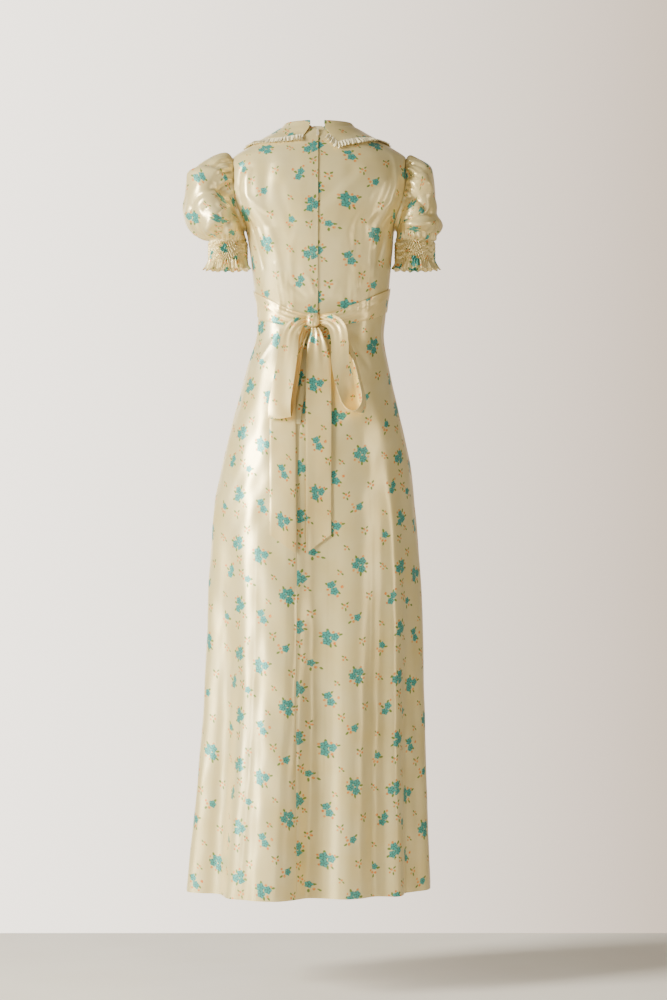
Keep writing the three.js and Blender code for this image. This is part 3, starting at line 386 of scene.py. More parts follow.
def lengths(points, axis):
    """Length of cloth up to each point along rows or columns of a grid."""
    steps = np.linalg.norm(np.diff(points, axis=axis), axis=-1)
    return np.insert(np.cumsum(steps, axis=axis), 0, 0, axis=axis)


def place_on(line, length, s):
    """The place at a length along a line."""
    return np.stack([np.interp(s, length, line[:, k]) for k in range(line.shape[1])], -1)


def zero_at(cloth, anchor):
    """Moves the zero of the flat place to the point nearest to an X and a height."""
    apart = np.hypot(cloth.outer[..., 0] - anchor[0], cloth.outer[..., 2] - anchor[1])
    cloth.uv = cloth.uv - cloth.uv[np.unravel_index(np.argmin(apart), apart.shape)]


def flat_uv(cloth, flip_u=False, anchor=None):
    """Lays a grid out flat: across its rows and up its columns, with the anchor place as the zero."""
    u = lengths(cloth.outer, 1) * (-1 if flip_u else 1)
    v = lengths(cloth.outer, 0) * np.sign(cloth.outer[-1, 0, 2] - cloth.outer[0, 0, 2])
    cloth.uv = np.stack([u, v], -1)
    if anchor is not None:
        zero_at(cloth, anchor)
    return cloth


# Where the middle of a posy lies on the pieces behind, as X and height, by side.
PRINT_ANCHORS = {
    "bodice": {1: (135, -167), -1: (-59, -146)},
    "skirt": {1: (104, -1005), -1: (-23, -960)},
    "tail": {1: (64, -742), -1: (2, -690)},
}
# On the right panels the print runs a little under the centre seam.
PRINT_DRAWN_IN = {"by": 16, "reach": 45}


def draw_print_in(cloth):
    from_seam = lengths(cloth.outer, 1)
    cloth.uv[..., 0] += PRINT_DRAWN_IN["by"] * bell(from_seam / PRINT_DRAWN_IN["reach"])


def cloth_object(name, grids, material, body="dress"):
    """A closed thin solid from grids of cloth. Points that coincide are one, so grids may share an edge."""
    outer = np.concatenate([g.outer.reshape(-1, 3) for g in grids])
    inner = np.concatenate([g.inner.reshape(-1, 3) for g in grids])
    _, first, place = np.unique(np.round(outer, 3), axis=0, return_index=True, return_inverse=True)
    place = place.reshape(-1)
    count = len(first)
    faces, face_uvs = [], []
    start = 0
    for g in grids:
        rows, cols = g.outer.shape[:2]
        ids = np.arange(rows * cols).reshape(rows, cols)
        quads = np.stack([ids[:-1, :-1], ids[1:, :-1], ids[1:, 1:], ids[:-1, 1:]], -1).reshape(-1, 4)
        flat = g.outer.reshape(-1, 3)
        side = np.cross(flat[quads[:, 2]] - flat[quads[:, 0]], flat[quads[:, 3]] - flat[quads[:, 1]])
        facing = (flat - g.inner.reshape(-1, 3))[quads[:, 0]]
        if np.sum(side * facing) < 0:
            quads = quads[:, ::-1]
        uv = g.uv.reshape(-1, 2) * MM
        for quad in quads:
            corners = []
            for i in quad:
                if place[start + i] not in [place[start + j] for j in corners]:
                    corners.append(i)
            if len(corners) > 2:
                faces.append([int(place[start + i]) for i in corners])
                face_uvs.append([uv[i] for i in corners])
        start += rows * cols
    used = {}
    for face in faces:
        for a, b in zip(face, face[1:] + face[:1]):
            used[(a, b)] = True
    rim = [edge for edge in used if (edge[1], edge[0]) not in used]
    uv_at = {i: uv for face, uvs in zip(faces, face_uvs) for i, uv in zip(face, uvs)}
    all_faces = list(faces)
    all_uvs = list(face_uvs)
    all_faces += [[count + i for i in reversed(face)] for face in faces]
    all_uvs += [list(reversed(uvs)) for uvs in face_uvs]
    all_faces += [[b, a, count + a, count + b] for a, b in rim]
    all_uvs += [[uv_at[b], uv_at[a], uv_at[a], uv_at[b]] for a, b in rim]
    vertices = np.concatenate([outer[first], inner[first]]) * MM
    obj = mesh_object(name, vertices, all_faces, material, body)
    mesh = obj.data
    layer = mesh.uv_layers.new(name="flat")
    layer.data.foreach_set("uv", np.array([uv for uvs in all_uvs for uv in uvs]).ravel())
    sharp = {tuple(sorted(edge)) for edge in rim}
    sharp |= {(a + count, b + count) for a, b in sharp}
    flags = [tuple(sorted(edge.vertices)) in sharp for edge in mesh.edges]
    mesh.attributes.new("sharp_edge", "BOOLEAN", "EDGE").data.foreach_set("value", flags)
    return obj


def mesh_object(name, vertices, faces, material, body="dress"):
    mesh = bpy.data.meshes.new(name)
    mesh.from_pydata([tuple(v) for v in vertices], [], faces)
    mesh.polygons.foreach_set("use_smooth", [True] * len(mesh.polygons))
    mesh.materials.append(material)
    mesh.update()
    obj = bpy.data.objects.new(name, mesh)
    bpy.context.scene.collection.objects.link(obj)
    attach(obj, body)
    return obj


# Node graphs

class Graph:
    """Short calls that add nodes to a tree. An input is a socket or a plain value."""

    def __init__(self, tree):
        self.tree = tree

    def add(self, kind, inputs=None, **settings):
        node = self.tree.nodes.new(kind)
        for key, value in settings.items():
            setattr(node, key, value)
        for key, value in (inputs or {}).items():
            self.join(value, node.inputs[key])
        return node

    def join(self, value, socket):
        if isinstance(value, bpy.types.NodeSocket):
            self.tree.links.new(value, socket)
        else:
            socket.default_value = value

    def math(self, operation, *values):
        return self.add("ShaderNodeMath", dict(enumerate(values)), operation=operation).outputs[0]

    def vector(self, operation, *values):
        node = self.add("ShaderNodeVectorMath", dict(enumerate(values)), operation=operation)
        return node.outputs["Value" if operation in ("LENGTH", "DOT_PRODUCT") else "Vector"]

    def mix_vector(self, share, a, b):
        return self.add("ShaderNodeMix", {0: share, 4: a, 5: b}, data_type="VECTOR").outputs[1]

    def mix_colour(self, share, a, b):
        return self.add("ShaderNodeMix", {0: share, 6: a, 7: b}, data_type="RGBA").outputs[2]

    def noise(self, place, scale, detail=2.0):
        return self.add("ShaderNodeTexNoise", {"Vector": place, "Scale": scale, "Detail": detail})

    def step(self, value, low, high):
        """0 below low and 1 above high, or the other way round where low is above high."""
        return self.add("ShaderNodeMapRange", {0: value, 1: low, 2: high, 3: 0.0, 4: 1.0}).outputs[0]


# Printed flowers. The pattern repeats 196 mm across with a step up of 106 mm, and 212 mm up.
REPEAT = {"across": 196.0, "step": 106.0, "up": 212.0}
# Motifs: blooms (x, y, radius), leaves (x, y, half length) and buds (x, y, radius), in millimetres.
MOTIFS = {
    "posy": {
        "blooms": [(-4.2, 5.5, 6.6), (9.7, 1.4, 6.2), (-3.5, -6.9, 6.4)],
        "leaves": [(-3, 14, 3.6), (-12.5, 2.5, 3.6), (2, -15, 3.6), (20.5, 5.5, 3.2), (11, -15.5, 3)],
        "buds": [(-14, 8.5, 2.4), (6.5, 10.5, 2.4), (16.5, 8, 2), (9, -11, 2.6), (-12, -10, 2.2)],
    },
    "round_posy": {
        "blooms": [(-7.5, 0.5, 6), (5.5, 7.5, 6.4), (4, -7, 6.2), (-4, 10, 4)],
        "leaves": [(-7, 16, 3.4), (-15, 4, 3.6), (2, -16.5, 3.6), (12, -12, 3.2), (14.5, 2.5, 3.4)],
        "buds": [(7, 16.5, 2.6), (14.5, -4, 2.2), (-12, -9, 2.4), (-14, 11, 2), (-4, -13.5, 2)],
    },
    "wide_posy": {
        "blooms": [(-7, -3, 6.4), (4.5, 5.5, 6.4), (6.5, -7.5, 5.8)],
        "leaves": [(-15.5, 3, 3.6), (-4, 10, 3.4), (12.5, 12, 3.4), (-4, -13, 3.4), (15, -3, 3.2)],
        "buds": [(-10.5, 8, 2.4), (3, 15, 2.2), (15.5, 5, 2.4), (14.5, -13, 2.2), (-15, -9, 2.4)],
    },
    "tall_posy": {
        "blooms": [(-3, 8, 6), (5.5, -1, 6.4), (-5, -6.5, 6)],
        "leaves": [(5, 15, 3.4), (-12, 4, 3.4), (1, -15, 3.6), (14.5, 4.5, 3.4), (-14, -10, 3)],
        "buds": [(-6.5, 16, 2.4), (12, 10, 2.4), (13, -9, 2.6), (-13, 12, 2), (7, -14, 2)],
    },
    "pair": {
        "blooms": [(-1.5, 7, 5.8), (4, -5.5, 6)],
        "leaves": [(5.5, 14.5, 3.4), (12, -8, 3.2), (-9, 9, 3.2)],
        "buds": [(17.5, 3, 2.8), (-7.5, -1.5, 2.2), (9.5, -14.5, 2.4), (-5, -12, 2)],
    },
    "leaning_pair": {
        "blooms": [(3.5, 5, 5.6), (-1.5, -5.5, 5.6)],
        "leaves": [(-7, 4, 3.2), (8.5, -5.5, 3.2), (3, 13, 3)],
        "buds": [(-12, 9.5, 2.6), (8, 15.5, 2.2), (-9, -9, 2.2)],
    },
    "single": {
        "blooms": [(4, 0.5, 5.6)],
        "leaves": [(9.5, 7.5, 3.2), (-10.5, -8, 3.2)],
        "buds": [(-7, 0, 2.6), (-3.5, -7, 2.6), (-9.5, 6, 2.2)],
    },
    "single_low": {
        "blooms": [(0.5, 0.5, 5.4)],
        "leaves": [(8.5, 1, 3), (0.5, -11.5, 3.2), (16, -9.5, 3)],
        "buds": [(-7.5, 8, 2.6), (-9.5, 1.5, 2.4), (8, -8, 2.4)],
    },
    "single_high": {
        "blooms": [(0, 5, 5.2)],
        "leaves": [(-4, 13, 3), (7.5, 1.5, 3.2), (-3.5, -12.5, 3)],
        "buds": [(-5, -5.5, 2.6), (-9, -1, 2.2), (1, -7, 2.4)],
    },
    "sprig": {
        "blooms": [],
        "leaves": [(-5, 3.5, 2.8), (4.5, 5, 2.6), (1.5, -7, 2.8)],
        "buds": [(-1, 1.5, 2.2), (4.5, -1.5, 2.3), (-5, -4, 2)],
    },
    "small_sprig": {
        "blooms": [],
        "leaves": [(-3.5, 3, 2.4), (4, -3.5, 2.4)],
        "buds": [(1, 1, 2.1), (-3, -3.5, 1.9)],
    },
}
# Where the motifs of one repeat lie.
MOTIF_PLACES = [
    ("posy", 0, 0), ("round_posy", 53, -76), ("wide_posy", 144, -87), ("tall_posy", 147, 6),
    ("pair", 2, 94), ("leaning_pair", 121, 68), ("single", 47, 36), ("single_low", -28, -49),
    ("single_high", 106, -26), ("sprig", 26, 60), ("small_sprig", 16, -87), ("sprig", 74, 78),
    ("sprig", -28, 47), ("small_sprig", -35, 94), ("sprig", 63, -9), ("small_sprig", 28, -40),
    ("sprig", -48, -11), ("small_sprig", 104, 22), ("small_sprig", 106, -83),
    ("sprig", 153, 69), ("small_sprig", 101, -78), ("sprig", 141, -31),
]
MOTIF_REACH = 25.0  # no part of a motif lies further than this from its middle, either way
LARGEST = 10.0  # no bloom, leaf or bud is larger
INK = {
    "turquoise": (0.01, 0.35, 0.31, 1),
    "teal": (0.003, 0.12, 0.12, 1),
    "pale": (0.10, 0.54, 0.45, 1),
    "leaf": (0.11, 0.20, 0.02, 1),
    "orange": (0.78, 0.17, 0.015, 1),
    "peach": (0.84, 0.36, 0.07, 1),
}
INK_EDGE = 0.4  # softness of a printed edge
PRINT_SCALE = 0.96  # size of the whole pattern
PRINT_WAVER = [(0.16, 2.2), (0.65, 1.5)]  # noise that bends the print's edges: its scale and its reach
BLOOM_SIZE = 1.2  # blooms run into each other
LEAF_SIZE = 1.15
LEAF_NARROW = 3.4  # the square of a leaf's length over its width
PETALS = {"count": 5.0, "bulge": 0.8, "gap": (-0.2, -0.8), "gap_from": (1.2, 2.6), "middle": (1.7, 1.1)}
# Uneven ink: the noise's scale and detail, between which values it sets in, and its share.
SPECKLE = {"noise": (0.9, 1.0), "between": (0.52, 0.62), "share": 0.7}
PALE_PATCH = {"noise": (0.5, 0.0), "between": (0.5, 0.66), "share": 0.5}
PEACH_BUDS = {"noise": (0.3, 0.0), "between": (0.42, 0.6), "share": 1.0}


def motif_lookup(g, kind, part, slot):
    """Place and size of one element of a motif, looked up by the motif's number."""
    node = g.add("ShaderNodeValToRGB", {0: kind})
    ramp = node.color_ramp
    ramp.interpolation = "CONSTANT"
    motifs = list(MOTIFS.values())
    for i, motif in enumerate(motifs):
        stop = ramp.elements[0] if i == 0 else ramp.elements.new(i / len(motifs))
        listed = motif[part]
        x, y, size = listed[slot] if slot < len(listed) else (0, 0, 0)
        reach = 2 * MOTIF_REACH
        stop.color = (x / reach + 0.5, y / reach + 0.5, size / LARGEST, 1)
    if len(ramp.elements) > len(motifs):
        ramp.elements.remove(ramp.elements[-1])
    split = g.add("ShaderNodeSeparateColor", {0: node.outputs[0]})
    flat = g.vector("MULTIPLY", node.outputs[0], (2 * MOTIF_REACH, 2 * MOTIF_REACH, 0))
    centre = g.vector("SUBTRACT", flat, (MOTIF_REACH, MOTIF_REACH, 0))
    return centre, g.math("MULTIPLY", split.outputs[2], LARGEST)


def elements(g, number, place, part):
    """For each element of the nearest motif: the way from its middle, its middle and its size."""
    for slot in range(max(len(motif[part]) for motif in MOTIFS.values())):
        centre, size = motif_lookup(g, number, part, slot)
        yield g.vector("SUBTRACT", place, centre), centre, size


def least_of(g, values):
    least = None
    for value in values:
        least = value if least is None else g.math("MINIMUM", value, least)
    return least


def floral_print():
    """A node group: the flat cloth's place in, printed colour and ink cover out."""
    tree = bpy.data.node_groups.new("floral_print", "ShaderNodeTree")
    tree.interface.new_socket("Place", in_out="INPUT", socket_type="NodeSocketVector")
    tree.interface.new_socket("Colour", in_out="OUTPUT", socket_type="NodeSocketColor")
    tree.interface.new_socket("Cover", in_out="OUTPUT", socket_type="NodeSocketFloat")
    g = Graph(tree)
    given = g.add("NodeGroupInput")
    place = g.vector("SCALE", given.outputs[0])
    place.node.inputs["Scale"].default_value = 1 / (MM * PRINT_SCALE)
    for scale, amount in PRINT_WAVER:
        shaken = g.vector("SUBTRACT", g.noise(place, scale, 1.0).outputs[1], (0.5, 0.5, 0.5))
        place = g.vector("ADD", place, g.vector("MULTIPLY", shaken, (amount, amount, 0)))
    apart = g.add("ShaderNodeSeparateXYZ", {0: place})
    lean = REPEAT["step"] / REPEAT["across"]
    straight = g.math("SUBTRACT", apart.outputs[1], g.math("MULTIPLY", apart.outputs[0], lean))
    place = g.add("ShaderNodeCombineXYZ", {0: apart.outputs[0], 1: straight, 2: 0.0}).outputs[0]

    # The nearest motif's number rides in z, in steps small enough not to change the distance.
    kinds = list(MOTIFS)
    code = 0.01
    half = (REPEAT["across"] / 2, REPEAT["up"] / 2, 1.0)
    near, least = None, None
    for kind, x, y in MOTIF_PLACES:
        number = (kinds.index(kind) + 0.5) * code
        off = g.vector("SUBTRACT", place, (x, y - lean * x, -number))
        off = g.vector("WRAP", off, half, tuple(-h for h in half))
        far = g.vector("LENGTH", off)
        if near is None:
            near, least = off, far
        else:
            near = g.mix_vector(g.math("LESS_THAN", far, least), near, off)
            least = g.math("MINIMUM", far, least)
    apart = g.add("ShaderNodeSeparateXYZ", {0: near})
    number = g.math("DIVIDE", apart.outputs[2], code * len(kinds))
    true_y = g.math("ADD", apart.outputs[1], g.math("MULTIPLY", apart.outputs[0], lean))
    local = g.add("ShaderNodeCombineXYZ", {0: apart.outputs[0], 1: true_y, 2: 0.0}).outputs[0]

    bloom, petal_place = None, None
    for off, centre, size in elements(g, number, local, "blooms"):
        outside = g.math("SUBTRACT", g.vector("LENGTH", off), g.math("MULTIPLY", size, BLOOM_SIZE))
        if bloom is None:
            bloom, petal_place = outside, off
        else:
            petal_place = g.mix_vector(g.math("LESS_THAN", outside, bloom), petal_place, off)
            bloom = g.math("MINIMUM", outside, bloom)
    bud = least_of(g, (
        g.math("SUBTRACT", g.vector("LENGTH", off), size)
        for off, centre, size in elements(g, number, local, "buds")))

    def outside_leaf(off, centre, size):
        """Leaves point away from the motif's middle, and are longer than wide."""
        along = g.vector("DOT_PRODUCT", off, g.vector("NORMALIZE", centre))
        whole = g.vector("DOT_PRODUCT", off, off)
        long_part = g.math("MULTIPLY", g.math("MULTIPLY", along, along), LEAF_NARROW - 1)
        reach = g.math("SQRT", g.math("SUBTRACT", g.math("MULTIPLY", whole, LEAF_NARROW), long_part))
        return g.math("SUBTRACT", reach, g.math("MULTIPLY", size, LEAF_SIZE))

    leaf = least_of(g, (outside_leaf(*element) for element in elements(g, number, local, "leaves")))

    # Petals: the bloom's edge bulges five times round, with darker lines between the petals.
    apart = g.add("ShaderNodeSeparateXYZ", {0: petal_place})
    turn = g.math("ARCTAN2", apart.outputs[1], apart.outputs[0])
    petals = g.math("COSINE", g.math("MULTIPLY", turn, PETALS["count"]))
    radius = g.vector("LENGTH", petal_place)
    bloom = g.math("SUBTRACT", bloom, g.math("MULTIPLY", petals, PETALS["bulge"]))
    gaps = g.math("MULTIPLY", g.step(petals, *PETALS["gap"]), g.step(radius, *PETALS["gap_from"]))
    middle = g.step(radius, *PETALS["middle"])

    def patches(kind):
        patch = g.step(g.noise(place, *kind["noise"]).outputs[0], *kind["between"])
        return g.math("MULTIPLY", patch, kind["share"])

    dark = g.math("MAXIMUM", gaps, g.math("MAXIMUM", middle, patches(SPECKLE)))
    bloom_colour = g.mix_colour(patches(PALE_PATCH), INK["turquoise"], INK["pale"])
    bloom_colour = g.mix_colour(dark, bloom_colour, INK["teal"])
    bud_colour = g.mix_colour(patches(PEACH_BUDS), INK["orange"], INK["peach"])

    leaf_cover, bud_cover, bloom_cover = (
        g.step(outside, INK_EDGE, -INK_EDGE) for outside in (leaf, bud, bloom))
    colour = g.mix_colour(bud_cover, INK["leaf"], bud_colour)
    colour = g.mix_colour(bloom_cover, colour, bloom_colour)
    cover = g.math("MAXIMUM", leaf_cover, g.math("MAXIMUM", bud_cover, bloom_cover))
    leave = g.add("NodeGroupOutput")
    tree.links.new(colour, leave.inputs[0])
    tree.links.new(cover, leave.inputs[1])
    return tree


def new_material(name, **settings):
    """A material, its graph and its shader, with plain settings on the shader's own sockets."""
    material = bpy.data.materials.new(name)
    material.use_nodes = True
    shader = material.node_tree.nodes["Principled BSDF"]
    for socket, value in settings.items():
        shader.inputs[socket.replace("_", " ")].default_value = value
    return material, Graph(material.node_tree), shader


CREAM = {"light": (0.80, 0.675, 0.345, 1), "deep": (0.755, 0.60, 0.24, 1)}
# The ties' satin is the dress's satin painted more golden: painted sheen, the tint that the satin's gloss
# takes at the ties' angle.
GOLDEN_PAINTED_SHEEN = {"light": (0.88, 0.72, 0.34, 1), "deep": (0.83, 0.62, 0.23, 1)}
SATIN_LOOK = {"Metallic": 0.38, "Specular_IOR_Level": 0.8, "Sheen_Weight": 0.12, "Sheen_Roughness": 0.4}
SATIN_ROUGH = {"least": 0.27, "by_tone": 0.08, "by_ink": 0.08}
INK_COVER = 0.95
# Where cloth is deeper in colour: the noise's scale and detail, and between which values it sets in.
SATIN_TONE = {"noise": (14.0, 3.0), "between": (0.3, 0.75)}
PLAIN_TONE = {"noise": (60.0, 3.0), "between": (0.3, 0.7), "rough": 0.1}
# A weave: its threads' pitch in millimetres, and how high threads and uneven yarn rise.
SATIN_WEAVE = (0.35, 0.012, 0.03)
YARN = {"squeeze": (1.0, 0.2, 1.0), "noise": (900.0, 2.0), "rise": 0.03}
# Enamel on the zip: where it is rubbed, how rough it is and how much smoother there, and its grain.
RUBBED = {"noise": (700.0, 3.0), "between": (0.55, 0.7), "share": 0.5, "rough": 0.42, "smoother": 0.14}
GRAIN = {"noise": (2500.0, 2.0), "strength": 0.15}
PLY = {"scale": 400.0, "shades": ((0.60, 0.50, 0.33, 1), (0.74, 0.64, 0.46, 1)), "strength": 0.5}
BUMP_HEIGHT = 0.0001
WAVE_PITCH = 0.314  # a wave texture of scale 1 has a band in every 0.314 of its unit


def bumpy(g, shader, height, strength, distance=BUMP_HEIGHT):
    bump = g.add("ShaderNodeBump", {"Height": height, "Strength": strength, "Distance": distance})
    g.join(bump.outputs[0], shader.inputs["Normal"])


def woven(g, shader, place, pitch, height, slub):
    """Weave and slub as bump: threads at a pitch in millimetres, and uneven yarn across them."""
    across, along = (
        g.add("ShaderNodeTexWave", {"Vector": place, "Scale": WAVE_PITCH / (pitch * MM), "Distortion": 0.6},
              bands_direction=way).outputs[1]
        for way in "XY")
    threads = g.math("MULTIPLY", g.math("ADD", across, along), 0.5)
    yarn = g.noise(g.vector("MULTIPLY", place, YARN["squeeze"]), *YARN["noise"])
    both = g.math("ADD", g.math("MULTIPLY", threads, height), g.math("MULTIPLY", yarn.outputs[0], slub))
    bumpy(g, shader, both, 1.0, MM)


def satin_material(name, light, deep):
    """Satin with a soft sheen, printed with small posies."""
    material, g, shader = new_material(name, **SATIN_LOOK)
    place = g.add("ShaderNodeUVMap", uv_map="flat").outputs[0]
    tone = g.noise(place, *SATIN_TONE["noise"]).outputs[0]
    colour = g.mix_colour(g.step(tone, *SATIN_TONE["between"]), light, deep)
    rough = g.math("ADD", g.math("MULTIPLY", tone, SATIN_ROUGH["by_tone"]), SATIN_ROUGH["least"])
    group = g.add("ShaderNodeGroup")
    group.node_tree = PRINT
    g.join(place, group.inputs[0])
    colour = g.mix_colour(g.math("MULTIPLY", group.outputs[1], INK_COVER), colour, group.outputs[0])
    rough = g.math("ADD", rough, g.math("MULTIPLY", group.outputs[1], SATIN_ROUGH["by_ink"]))
    g.join(colour, shader.inputs["Base Color"])
    g.join(rough, shader.inputs["Roughness"])
    woven(g, shader, place, *SATIN_WEAVE)
    return material


def cloth_material(name, colour, deep, roughness, pitch, height):
    """Plain matt cloth with a coarser weave."""
    material, g, shader = new_material(name, Sheen_Weight=0.2)
    place = g.add("ShaderNodeUVMap", uv_map="flat").outputs[0]
    tone = g.noise(place, *PLAIN_TONE["noise"]).outputs[0]
    shade = g.mix_colour(g.step(tone, *PLAIN_TONE["between"]), colour, deep)
    g.join(shade, shader.inputs["Base Color"])
    rough = g.math("ADD", g.math("MULTIPLY", tone, PLAIN_TONE["rough"]), roughness)
    g.join(rough, shader.inputs["Roughness"])
    woven(g, shader, place, pitch, height, YARN["rise"])
    return material


def enamel_material(name, colour, worn, metallic):
    """Painted metal of the zip, with its paint rubbed a little."""
    material, g, shader = new_material(name, Metallic=metallic)
    place = g.add("ShaderNodeTexCoord").outputs["Object"]
    rubbed = g.step(g.noise(place, *RUBBED["noise"]).outputs[0], *RUBBED["between"])
    shade = g.mix_colour(g.math("MULTIPLY", rubbed, RUBBED["share"]), colour, worn)
    rough = g.math("SUBTRACT", RUBBED["rough"], g.math("MULTIPLY", rubbed, RUBBED["smoother"]))
    g.join(shade, shader.inputs["Base Color"])
    g.join(rough, shader.inputs["Roughness"])
    bumpy(g, shader, g.noise(place, *GRAIN["noise"]).outputs[0], GRAIN["strength"])
    return material


def thread_material():
    material, g, shader = new_material("thread", Roughness=0.5)
    place = g.add("ShaderNodeTexCoord").outputs["Object"]
    ply = g.add("ShaderNodeTexWave", {"Vector": place, "Scale": PLY["scale"], "Distortion": 1.0}).outputs[1]
    g.join(g.mix_colour(ply, *PLY["shades"]), shader.inputs["Base Color"])
    bumpy(g, shader, ply, PLY["strength"])
    return material


PRINT = floral_print()
SATIN = satin_material("printed_satin", **CREAM)
# The ties, bow loops, tails and knot share this copy of the satin, painted more golden as painted sheen.
TIE_SATIN_PAINTED_SHEEN = satin_material("tie_satin_painted_sheen", **GOLDEN_PAINTED_SHEEN)
TRIM_CLOTH = cloth_material("trim_cloth", (0.86, 0.77, 0.50, 1), (0.80, 0.69, 0.38, 1), 0.38, 0.5, 0.02)
ZIP_CLOTH = cloth_material("zip_cloth", (0.74, 0.63, 0.36, 1), (0.66, 0.55, 0.29, 1), 0.6, 0.7, 0.06)
ZIP_METAL = enamel_material("zip_metal", (0.76, 0.68, 0.46, 1), (0.62, 0.57, 0.46, 1), 0.35)
THREAD = thread_material()


# Bodice panels

LEFT_EDGE = []  # height and flat place of the points beside the zip, on the side that laps over it


def remember_edge(grid, side):
    if side > 0:
        LEFT_EDGE.append(np.concatenate([grid.outer[:, 0, 2:], grid.uv[:, 0]], -1))


def back_gap(z):
    return np.where(z > ZIP_END_Z, ZIP_GAP, SEAM_GAP / 2)


def armhole_cut(z, cut):
    """How far the armhole cuts in from the side, as an angle, at a height."""
    s = np.minimum(np.abs((2 * z - ARMPIT_Z - SHOULDER_Z) / (SHOULDER_Z - ARMPIT_Z)), 1)
    return cut * (1 - s ** ARMHOLE_CUT["roundness"]) ** (1 / ARMHOLE_CUT["roundness"])


def waist_dip(angle, z):
    """The waist seam dips towards centre back, and the rows above it follow less and less."""
    share = clamp01((z - ARMPIT_Z) / (WAIST_Z - ARMPIT_Z))
    return np.where(np.cos(angle) > 0, -WAIST_DIP * np.cos(angle) ** 2 * share, 0)


SIDE_SPANS, ARMHOLE_SPANS, SHOULDER_SPANS = 46, 64, 22
BODICE_COLUMNS = 64
OUTER_ROWS = np.concatenate([
    mix(WAIST_Z, ARMPIT_Z, shares(SIDE_SPANS)),
    mix(ARMPIT_Z, SHOULDER_Z, (1 - np.cos(np.pi * shares(ARMHOLE_SPANS)[1:])) / 2),
    mix(SHOULDER_Z, 0, shares(SHOULDER_SPANS)[1:]),
])
NECK_ROWS_FROM = -92.0  # outer height of the row that starts at the neck's lowest point
NECK_BEND_FROM = -140  # rows above this bend up to meet the neckline


def keep_side(cloth, back):
    """Keeps a grid on its own side of the side and shoulder seams."""
    clear = SEAM_GAP / 2
    for points in (cloth.outer, cloth.inner):
        y = points[..., 1]
        points[..., 1] = np.maximum(y, clear) if back else np.minimum(y, -clear)
    return cloth


def sink_at_seams(cloth, rows=(), cols=()):
    """Sinks cloth beside the seams that run along the named first (0) or last (-1) rows and columns."""
    across = lengths(cloth.outer, 1)
    down = lengths(cloth.outer, 0)
    apart = np.full(across.shape, 1e3)
    for end in cols:
        apart = np.minimum(apart, np.abs(across - across[:, [end]]))
    for end in rows:
        apart = np.minimum(apart, np.abs(down - down[[end], :]))
    return cloth.lift(-SEAM_DIP["depth"] * bell(apart / SEAM_DIP["reach"]))


def back_bodice_grid(side):
    edge_z = OUTER_ROWS[:, None]
    u = shares(BODICE_COLUMNS)[None, :]
    outer = np.pi / 2 - armhole_cut(edge_z, ARMHOLE_CUT["back"])
    middle = seam_angle(edge_z) + side * back_gap(edge_z) / BODY["half"](edge_z)
    angle = mix(middle, side * outer, u)
    z = edge_z + waist_dip(angle, edge_z)
    from_zip = np.abs(surface(angle, edge_z + 0 * angle)[..., 0])
    notch = clamp01(1 - (from_zip - ZIP_GAP) / NECK_NOTCH["half"])
    z = z - NECK_NOTCH["drop"] * notch * clamp01(1 + edge_z / NECK_NOTCH["fade"])
    return keep_side(on_surface(angle, z), True)


def front_bodice_grid(side):
    """The front's half on one side: below the neckline, and beside it."""
    rise = clamp01((OUTER_ROWS - NECK_ROWS_FROM) / (0 - NECK_ROWS_FROM))
    turn = np.pi / 2 * (1 - rise)
    lower = OUTER_ROWS <= NECK_ROWS_FROM
    bend = clamp01((OUTER_ROWS - NECK_BEND_FROM) / (NECK_ROWS_FROM - NECK_BEND_FROM))
    bent_z = OUTER_ROWS + bend * (NECK_FRONT_Z - NECK_ROWS_FROM)
    inner_z = np.where(lower, bent_z, NECK_FRONT_Z * np.sin(turn))
    inner_x = np.where(lower, 0, NECK_HALF * np.cos(turn))
    inner = np.pi - np.arcsin(clamp01(inner_x / BODY["half"](inner_z)))
    outer = np.pi / 2 + armhole_cut(OUTER_ROWS, ARMHOLE_CUT["front"])
    u = shares(BODICE_COLUMNS)[None, :]
    z = mix(inner_z[:, None], OUTER_ROWS[:, None], u)
    angle = side * mix(inner[:, None], outer[:, None], u)
    return keep_side(on_surface(angle, z), False)


def make_bodice():
    for side, name in ((1, "left"), (-1, "right")):
        grid = flat_uv(back_bodice_grid(side), side > 0, PRINT_ANCHORS["bodice"][side])
        remember_edge(grid, side)
        if side < 0:
            draw_print_in(grid)
        sink_at_seams(grid, rows=(0,), cols=(-1,))
        panel = cloth_object(f"back_bodice_{name}", [grid], SATIN)
        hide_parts(f"bodice_back_{name}")
    halves = []
    for side in (1, -1):
        half = flat_uv(front_bodice_grid(side), side < 0)
        halves.append(sink_at_seams(half, rows=(0,), cols=(-1,)))
    panel = cloth_object("front_bodice", halves, SATIN)
    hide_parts("bodice_front")


# Skirt panels

SKIRT_SPANS = 150
SKIRT_COLUMNS = {"back": 150, "front": 230}
SKIRT_TOP_CLOSER = 1.35  # rows lie closer together near the waist
HIP_FOLLOW = 260  # the rows lose the waist's dip over this height


def skirt_z(flat_z, angle):
    return flat_z + waist_dip(angle, WAIST_Z) * (1 - ease((WAIST_Z - flat_z) / HIP_FOLLOW))


def skirt_grid(from_angle, to_angle, count):
    flat_z = mix(WAIST_Z - SEAM_GAP, HEM_Z, shares(SKIRT_SPANS) ** SKIRT_TOP_CLOSER)[:, None]
    u = shares(count)[None, :]
    z = skirt_z(flat_z, mix(from_angle(flat_z), to_angle(flat_z), u))
    return on_surface(mix(from_angle(z), to_angle(z), u), z)


